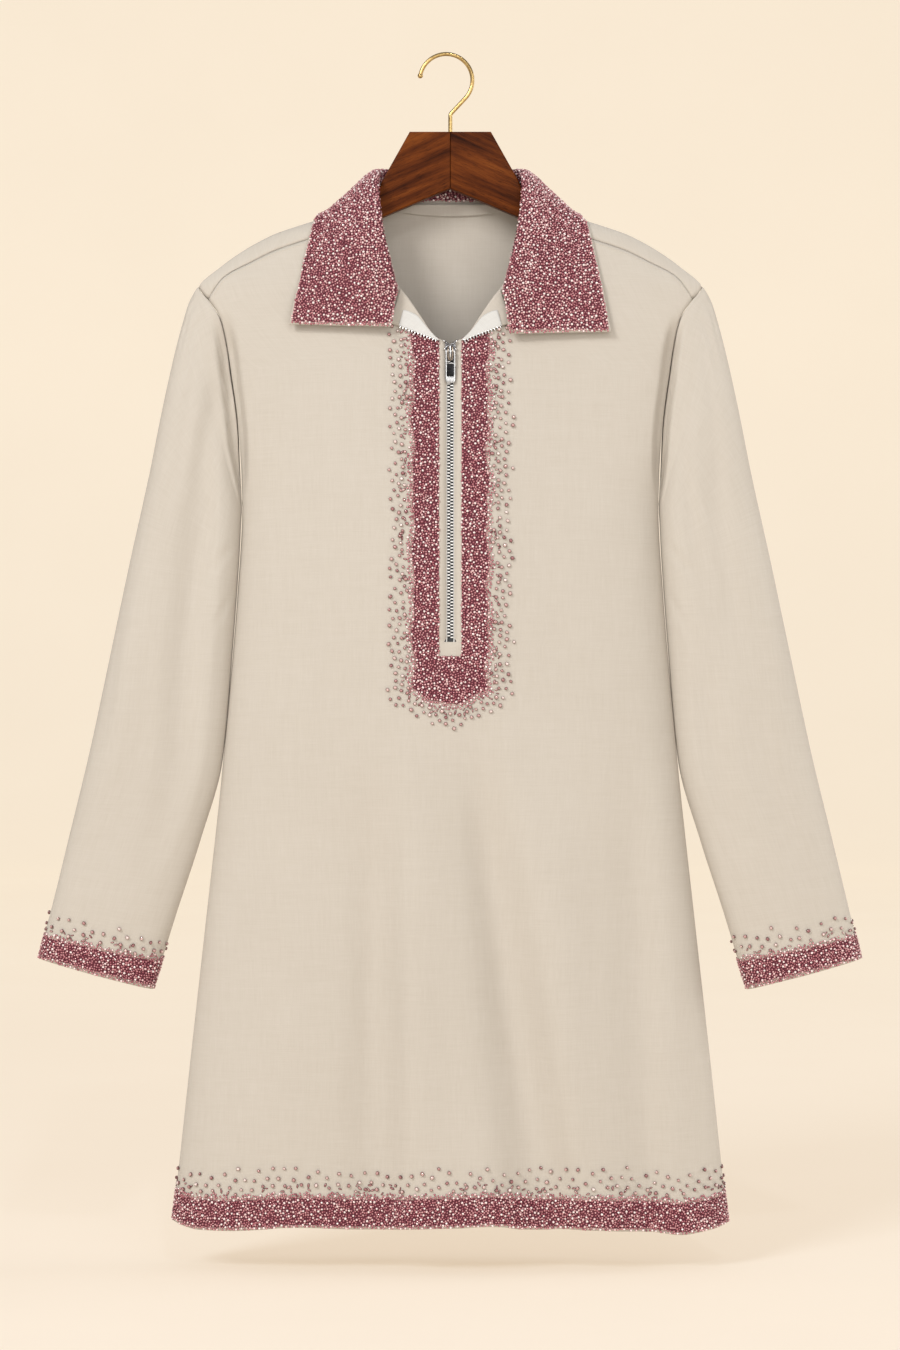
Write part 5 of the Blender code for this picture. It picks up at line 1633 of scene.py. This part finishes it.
# ---- Sewing ----------------------------------------------------------------------------------------
STITCH = 0.0021  # length of a stitch
STITCH_GAP = 0.0007
STITCH_RADIUS = 0.00022
STITCH_INSET = 0.0035  # of the shoulders' stitches from the seam


def stitches_along(path, path_normals):
    """Centres, directions and normals of stitches along a path."""
    lengths = path_lengths(path)
    at = np.arange(STITCH_GAP, lengths[-1] - STITCH_GAP, STITCH + STITCH_GAP)
    places = along_path(path, lengths, at)
    ahead = along_path(path, lengths, at + STITCH * 0.5)
    return places, ahead - places, along_path(path, lengths, at, path_normals)


def line_below_top(grid, columns):
    """Points and normals of a line under a panel's last row, over some of its columns."""
    up = grid_lengths(grid, 0)
    lines = []
    for values in (grid, grid_normals(grid)):
        line = [along_path(values[:, j], up[:, j], up[-1:, j] - STITCH_INSET)[0] for j in columns]
        lines.append(np.array(line))
    return lines


def shoulder_stitches(front_points):
    """The rows of stitches beside both shoulder seams, in one mesh."""
    halves = (range(2, PANEL_COLUMNS), range(PANEL_COLUMNS + 1, 2 * PANEL_COLUMNS))
    rows = [stitches_along(*line_below_top(front_points, half)) for half in halves]
    places, along, normals = (np.concatenate(part) for part in zip(*rows))
    sizes = np.tile([STITCH * 0.52, STITCH_RADIUS, STITCH_RADIUS * 0.8], (len(places), 1))
    centres = places + normals * STITCH_RADIUS * 0.4
    return copies("stitches_shoulder", unit_ball(1), centres, frames_from(normals, along), sizes, SEWING)


# ---- Scene -----------------------------------------------------------------------------------------
WARM_WHITE = (1.0, 0.985, 0.965)
SKY = 0.39  # strength of the light from all round
LIT_CENTRE = (0, 0, -0.55)  # what the lights are turned to
LIGHTS = (  # (name, place, width and height, watts, colour)
    ("key", (-2.6, -3.6, 2.2), (1.6, 1.6), 137, WARM_WHITE),
    ("fill", (1.6, -3.8, 0.2), (2.0, 2.0), 30, WARM_WHITE),
    ("front", (0.4, -4.6, 0.3), (2.0, 2.0), 20, (1.0, 0.975, 0.945)),
    ("kicker", (3.6, 0.4, 0.3), (1.6, 2.4), 46, WARM_WHITE),
    ("sparkle", (0.6, -4.2, 2.6), (0.22, 0.22), 26, (1.0, 0.99, 0.97)),
)
FLOOR_Z = -1.1120
FLOOR_NEAR_Y = -4.0
WALL_Y = 8.0  # behind the camera of a view from behind
WALL_TOP = 5.0
STAGE_HALF_WIDTH = 7.0
SWEEP = 1.6  # radius of the curve from floor to wall
BACKDROP = (0.375, 0.400, 0.415)
GLOW_NEAR = (0.606, 0.466, 0.322)  # keeps the shadows on it pale
GLOW_FAR = (0.688, 0.560, 0.408)  # makes up for the light that the far wall doesn't get
GLOW_FROM, GLOW_TO = -0.4, 3.5  # where the glow changes, in y


def area_light(name, place, size, power, colour):
    light = bpy.data.lights.new(name, "AREA")
    light.shape = "RECTANGLE"
    light.size, light.size_y = size
    light.energy = power
    light.color = colour
    made = in_scene(name, light)
    made.location = place
    made.rotation_euler = (Vector(LIT_CENTRE) - Vector(place)).to_track_quat("-Z", "Y").to_euler()


WOOD_HALF_DEPTH = 0.0065
WOOD_EASED = 0.0014  # radius of its edges
MITRE_EASED = 0.0004
# The top of the wood: (x, z) up to where it follows the shoulders, and x of its points from there
WOOD_TOP = ((0.0373, -0.0700), (0.0626, -0.1150), (0.0700, -0.1315), (0.0775, -0.1465))
WOOD_ARM_X = (0.0900, 0.1100, 0.1350, 0.1600, 0.1850, 0.2050)
ARM_BELOW_RIDGE = 0.0095
WOOD_APEX_Z = -0.1219
WOOD_UNDER_SLOPE = 0.423
ARM_END_HEIGHT = 0.0110
WOOD_SHARP = 40  # edges of the wood that turn more than this, in degrees, look sharp
GRAIN_SLOPE = 24  # of the arms' grain, in degrees


def inset(outline, distances):
    """An outline with each edge, from a point to the next, moved in by its distance."""
    points = np.array(outline)
    edges = np.roll(points, -1, axis=0) - points
    normals = unit(np.stack([edges[:, 1], -edges[:, 0]], axis=1))
    moved = []
    for i, point in enumerate(points):
        sides = np.array([normals[i - 1], normals[i]])
        moved.append(point + np.linalg.solve(sides, [distances[i - 1], distances[i]]))
    return np.array(moved)


def make_wood(side, sign):
    """One half of the hanger, its edges eased but for the mitre."""
    looks = walnut_material(f"walnut_{side}", math.radians(-GRAIN_SLOPE * sign))
    top = [(0.0, WOOD_TOP[0][1])] + list(WOOD_TOP)
    top += [(x, float(ridge_at(x)) - ARM_BELOW_RIDGE) for x in WOOD_ARM_X]
    under = [(x, min(WOOD_APEX_Z - WOOD_UNDER_SLOPE * x, z - ARM_END_HEIGHT)) for x, z in top]
    outline = top + under[::-1]
    layers = []
    for k in range(5):
        angle = math.pi / 2 * k / 4
        eased = WOOD_EASED * (1 - math.sin(angle))
        distances = [eased] * (len(outline) - 1) + [min(eased, MITRE_EASED)]
        layers.append((-WOOD_HALF_DEPTH + WOOD_EASED * (1 - math.cos(angle)), inset(outline, distances)))
    layers += [(-y, ring) for y, ring in reversed(layers)]
    work = bmesh.new()
    rings = [[work.verts.new((sign * x, y, z)) for x, z in ring] for y, ring in layers]
    for near, far in zip(rings[:-1], rings[1:]):
        band(work, near, far)
    work.faces.new(rings[0])
    work.faces.new(rings[-1])
    made = object_from(work, f"hanger_arm_{side}", looks)
    made.data.set_sharp_from_angle(angle=math.radians(WOOD_SHARP))
    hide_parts(f"hanger_wood_{side}")
    return made


WIRE_RADIUS = 0.0019
LOOP_RADIUS = 0.02415
LOOP_X = -0.00385
LOOP_Z = -0.02190
LOOP_START = 170  # degrees, at the free end
LOOP_SWEEP = 213
STEM_BEND_RADIUS = 0.0045
HOOK_TIP_RADIUS = 0.0025


def make_hook():
    """The hook's bent wire with its rounded free end."""
    path = []
    loop_end = LOOP_START - LOOP_SWEEP
    for angle in np.radians(np.linspace(LOOP_START, loop_end, 90)):
        path.append((LOOP_X + LOOP_RADIUS * math.cos(angle), LOOP_Z + LOOP_RADIUS * math.sin(angle)))
    lean = math.radians(90 + loop_end)
    turn = math.pi / 2 - lean
    start_x, start_z = path[-1]
    bend_x = STEM_BEND_RADIUS * (1 - math.cos(turn))
    bend_z = start_z - (start_x - bend_x) * math.tan(lean)
    for angle in np.linspace(turn, 0, 12):
        x = STEM_BEND_RADIUS * (1 - math.cos(angle))
        path.append((x, bend_z - STEM_BEND_RADIUS * (math.sin(turn) - math.sin(angle))))
    path.append((0.0, WOOD_TOP[0][1] + SEAM))
    wire = tube("hook_wire", [(x, 0.0, z) for x, z in path], WIRE_RADIUS, BRASS, sides=24)
    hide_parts("hanger_hook")
    return [wire, knob("hook_tip", (path[0][0], 0.0, path[0][1]), HOOK_TIP_RADIUS, BRASS, 3)]


def make_backdrop():
    """A pale floor that sweeps up into a wall, which glows a little as painted light."""
    profile = [(FLOOR_NEAR_Y, FLOOR_Z), (WALL_Y - SWEEP, FLOOR_Z)]
    for k in range(1, 33):
        angle = math.radians(90 * k / 32)
        profile.append((WALL_Y - SWEEP + SWEEP * math.sin(angle), FLOOR_Z + SWEEP * (1 - math.cos(angle))))
    profile.append((WALL_Y, WALL_TOP))
    points = [(x, y, z) for y, z in profile for x in (-STAGE_HALF_WIDTH, STAGE_HALF_WIDTH)]
    faces = [(2 * i, 2 * i + 1, 2 * i + 3, 2 * i + 2) for i in range(len(profile) - 1)]
    mesh_object("backdrop", points, faces, backdrop_material("cream_plaster"))


def make_camera():
    lens = bpy.data.cameras.new("camera")
    lens.sensor_width = SENSOR
    lens.lens = SENSOR * CAMERA_DISTANCE / VIEW_HEIGHT
    lens.clip_start, lens.clip_end = CLIPPED
    made = in_scene("camera", lens)
    made.location = (VIEW_CENTRE[0], -CAMERA_DISTANCE, VIEW_CENTRE[1])
    made.rotation_euler = (math.radians(90), 0, 0)
    bpy.context.scene.camera = made


def light_scene():
    world = bpy.data.worlds.new("studio")
    world.use_nodes = True
    background = world.node_tree.nodes["Background"]
    background.inputs["Color"].default_value = (*WARM_WHITE, 1)
    background.inputs["Strength"].default_value = SKY
    bpy.context.scene.world = world
    for light in LIGHTS:
        area_light(*light)
    bpy.context.scene.view_settings.view_transform = "Standard"


# ---- Building --------------------------------------------------------------------------------------
def banded_beads(name, grids, band, scatter, samples, rng, closed):
    """Dense beads from an edge up to band, and pearls that thin out above it. grids are (grid, distance
    from the edge, outward sign)."""
    dense = []
    loose = []
    for grid, height, turn in grids:
        if closed:
            height = np.concatenate([height, height[:, :1]], axis=1)
        rows = np.where(height.min(axis=1) < band + scatter + 0.01)[0]
        part = slice(rows[0], rows[-1] + 1)
        points, normals, i, j = grid_samples(grid[part], samples, rng, closed)
        normals = normals * turn
        up = look_up(height[part], i, j)
        inside = band + ragged_edge(points, rng) - up
        packed = (inside > 0) & (up > 0.0009)
        dense.append((points[packed], normals[packed]))
        spread = (inside < -0.0006) & (inside > -scatter)
        loose.append((points[spread], normals[spread], -inside[spread] / scatter))
    points, normals = (np.concatenate(c) for c in zip(*dense))
    kept = keep_apart(points, BEAD_SPACING)
    beads = lay_beads(f"beads_{name}", points[kept], normals[kept], rng)
    dense_points = points[kept]
    points, normals, far = (np.concatenate(c) for c in zip(*loose))
    return [beads] + scattered(name, points, normals, far, BAND_PEARLS, dense_points, rng)


def ragged_edge(points, rng):
    """How far the edge of dense beading runs in and out along a band."""
    x, z = points[:, 0], points[:, 2]
    wave = 0.0010 * np.sin(x * 230 + z * 90) + 0.0009 * np.sin(x * 590 - z * 310 + 1)
    return wave - 0.0060 * rng.random(len(points)) ** 2.2 + 0.0008


def scattered(name, points, normals, far, thinning, dense_points, rng):
    """Drops close to the dense beads and pearls that thin out: far is 0 at the beads and 1 at the end
    of the scatter."""
    spacing, grown, dropped = thinning
    order = np.argsort(far + 0.30 * rng.random(len(far)))
    points, normals, far = points[order], normals[order], far[order]
    kept = keep_apart(points, spacing + grown * far)
    kept = kept[clear_of(points[kept], dense_points, 0.0022)]
    pearls = lay_pearls(f"pearls_{name}", points[kept], normals[kept], rng)
    near = np.where((far < 0.34) & (rng.random(len(far)) < 0.6))[0]
    near = near[keep_apart(points[near], 0.0033)]
    near = near[rng.random(len(near)) < dropped]
    others = np.concatenate([points[kept], dense_points])
    near = near[clear_of(points[near], others, 0.0021)]
    return [pearls, lay_drops(f"drops_{name}", points[near], normals[near], rng)]


def placket_beads(grid, rng):
    low = np.searchsorted(grid[:, PANEL_COLUMNS, 2], PLACKET_POINT_Z - 0.035)
    wide = np.where(np.abs(grid[low, :, 0]) < PLACKET_HALF + 0.03)[0]
    part = grid[low:, wide[0] : wide[-1] + 1]
    points, normals, _, _ = grid_samples(part, SAMPLES["placket"], rng)
    soft, sharp = beading_depth(points[:, 0], points[:, 2])
    hole = (np.abs(points[:, 0]) < SLIT_HALF) & (points[:, 2] > SLIT_BOTTOM_Z)
    soft = soft - 0.0085 * rng.random(len(points)) ** 2.0 + 0.0018
    packed = (soft > 0) & (sharp > 0.0004) & ~hole
    dense, dense_normals = points[packed], normals[packed]
    kept = keep_apart(dense, BEAD_SPACING)
    dense, dense_normals = dense[kept], dense_normals[kept]
    beads = lay_beads("beads_placket", dense, dense_normals, rng)
    spread = (soft < -0.0006) & (soft > -PLACKET_SCATTER) & (sharp > 0.001) & ~hole
    far = -soft[spread] / PLACKET_SCATTER
    return [beads] + scattered("placket", points[spread], normals[spread], far, PLACKET_PEARLS, dense, rng)


def collar_beads(grid, down, to_edge, to_end, rng):
    points, normals, i, j = grid_samples(grid, SAMPLES["collar"], rng)
    facing = normals[:, 2][j > grid.shape[1] * 0.8].mean()
    normals = normals * (1 if facing > 0 else -1)
    packed = (look_up(to_edge, i, j) > 0.0013) & (look_up(to_end, i, j) > 0.0006)
    packed &= look_up(down, i, j) > STAND_BARE + 0.0015 * rng.random(len(points))
    points, normals, j = points[packed], normals[packed], j[packed]
    kept = keep_apart(points, BEAD_SPACING)
    points, normals, j = points[kept], normals[kept], j[kept]
    roll = 0.14 * np.exp(-(((j / COLLAR_FINER - 3.4) / 0.8) ** 2))  # painted sheen: paler where the collar folds over and its roll catches the light
    laid = []
    for side, half in (("left", points[:, 0] < 0), ("right", points[:, 0] >= 0)):
        name = f"beads_collar_{side}"
        laid.append(lay_beads(name, points[half], normals[half], rng, roll[half]))
    return laid


def dress(pieces, body="root"):
    for piece in pieces:
        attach(piece, body)


def main():
    rng = np.random.default_rng(SEED)
    front, front_points, front_up = make_front()
    back, back_points, back_up = make_back()
    sleeves = {side: make_sleeve(side, sign) for side, sign in SIDES}
    collar, collar_points, down, to_edge, to_end = make_collar()
    cloth = [front, back, collar, make_neck_tape()] + [made for made, _, _ in sleeves.values()]
    tapes = []
    teeth = []
    for side, sign in SIDES:
        facing, _ = turned_strip(f"facing_{side}", sign, (0, 0, 0, 0, 0), FACING_LIFT, COTTON_PLAIN)
        cloth.append(facing)
        tape, tape_points = turned_strip(f"zip_tape_{side}", sign, TAPE_START, TAPE_LIFT, TAPE_WHITE)
        tapes.append(tape)
        teeth.append(make_open_teeth(side, tape_points))

    beads = collar_beads(collar_points, down, to_edge, to_end, rng)
    beads += placket_beads(front_points, rng)
    hem_rows = [(front_points, front_up, 1), (back_points, back_up, -1)]
    beads += banded_beads("hem", hem_rows, HEM_BAND, HEM_SCATTER, SAMPLES["hem"], rng, False)
    for side, (_, points, from_cuff) in sleeves.items():
        rings = [(points, from_cuff, dict(SIDES)[side])]
        beads += banded_beads(f"cuff_{side}", rings, CUFF_BAND, CUFF_SCATTER, SAMPLES["cuff"], rng, True)

    metal = [make_zip_teeth()] + teeth + make_slider()
    dress(make_tab(), "tab")
    dress(cloth + [shoulder_stitches(front_points)])
    strip = make_zip_tape()
    dress([strip] + tapes + make_cords())
    dress(beads)
    dress(metal)

    dress([make_wood(side, sign) for side, sign in SIDES])
    dress(make_hook())
    make_backdrop()
    make_camera()
    light_scene()


main()
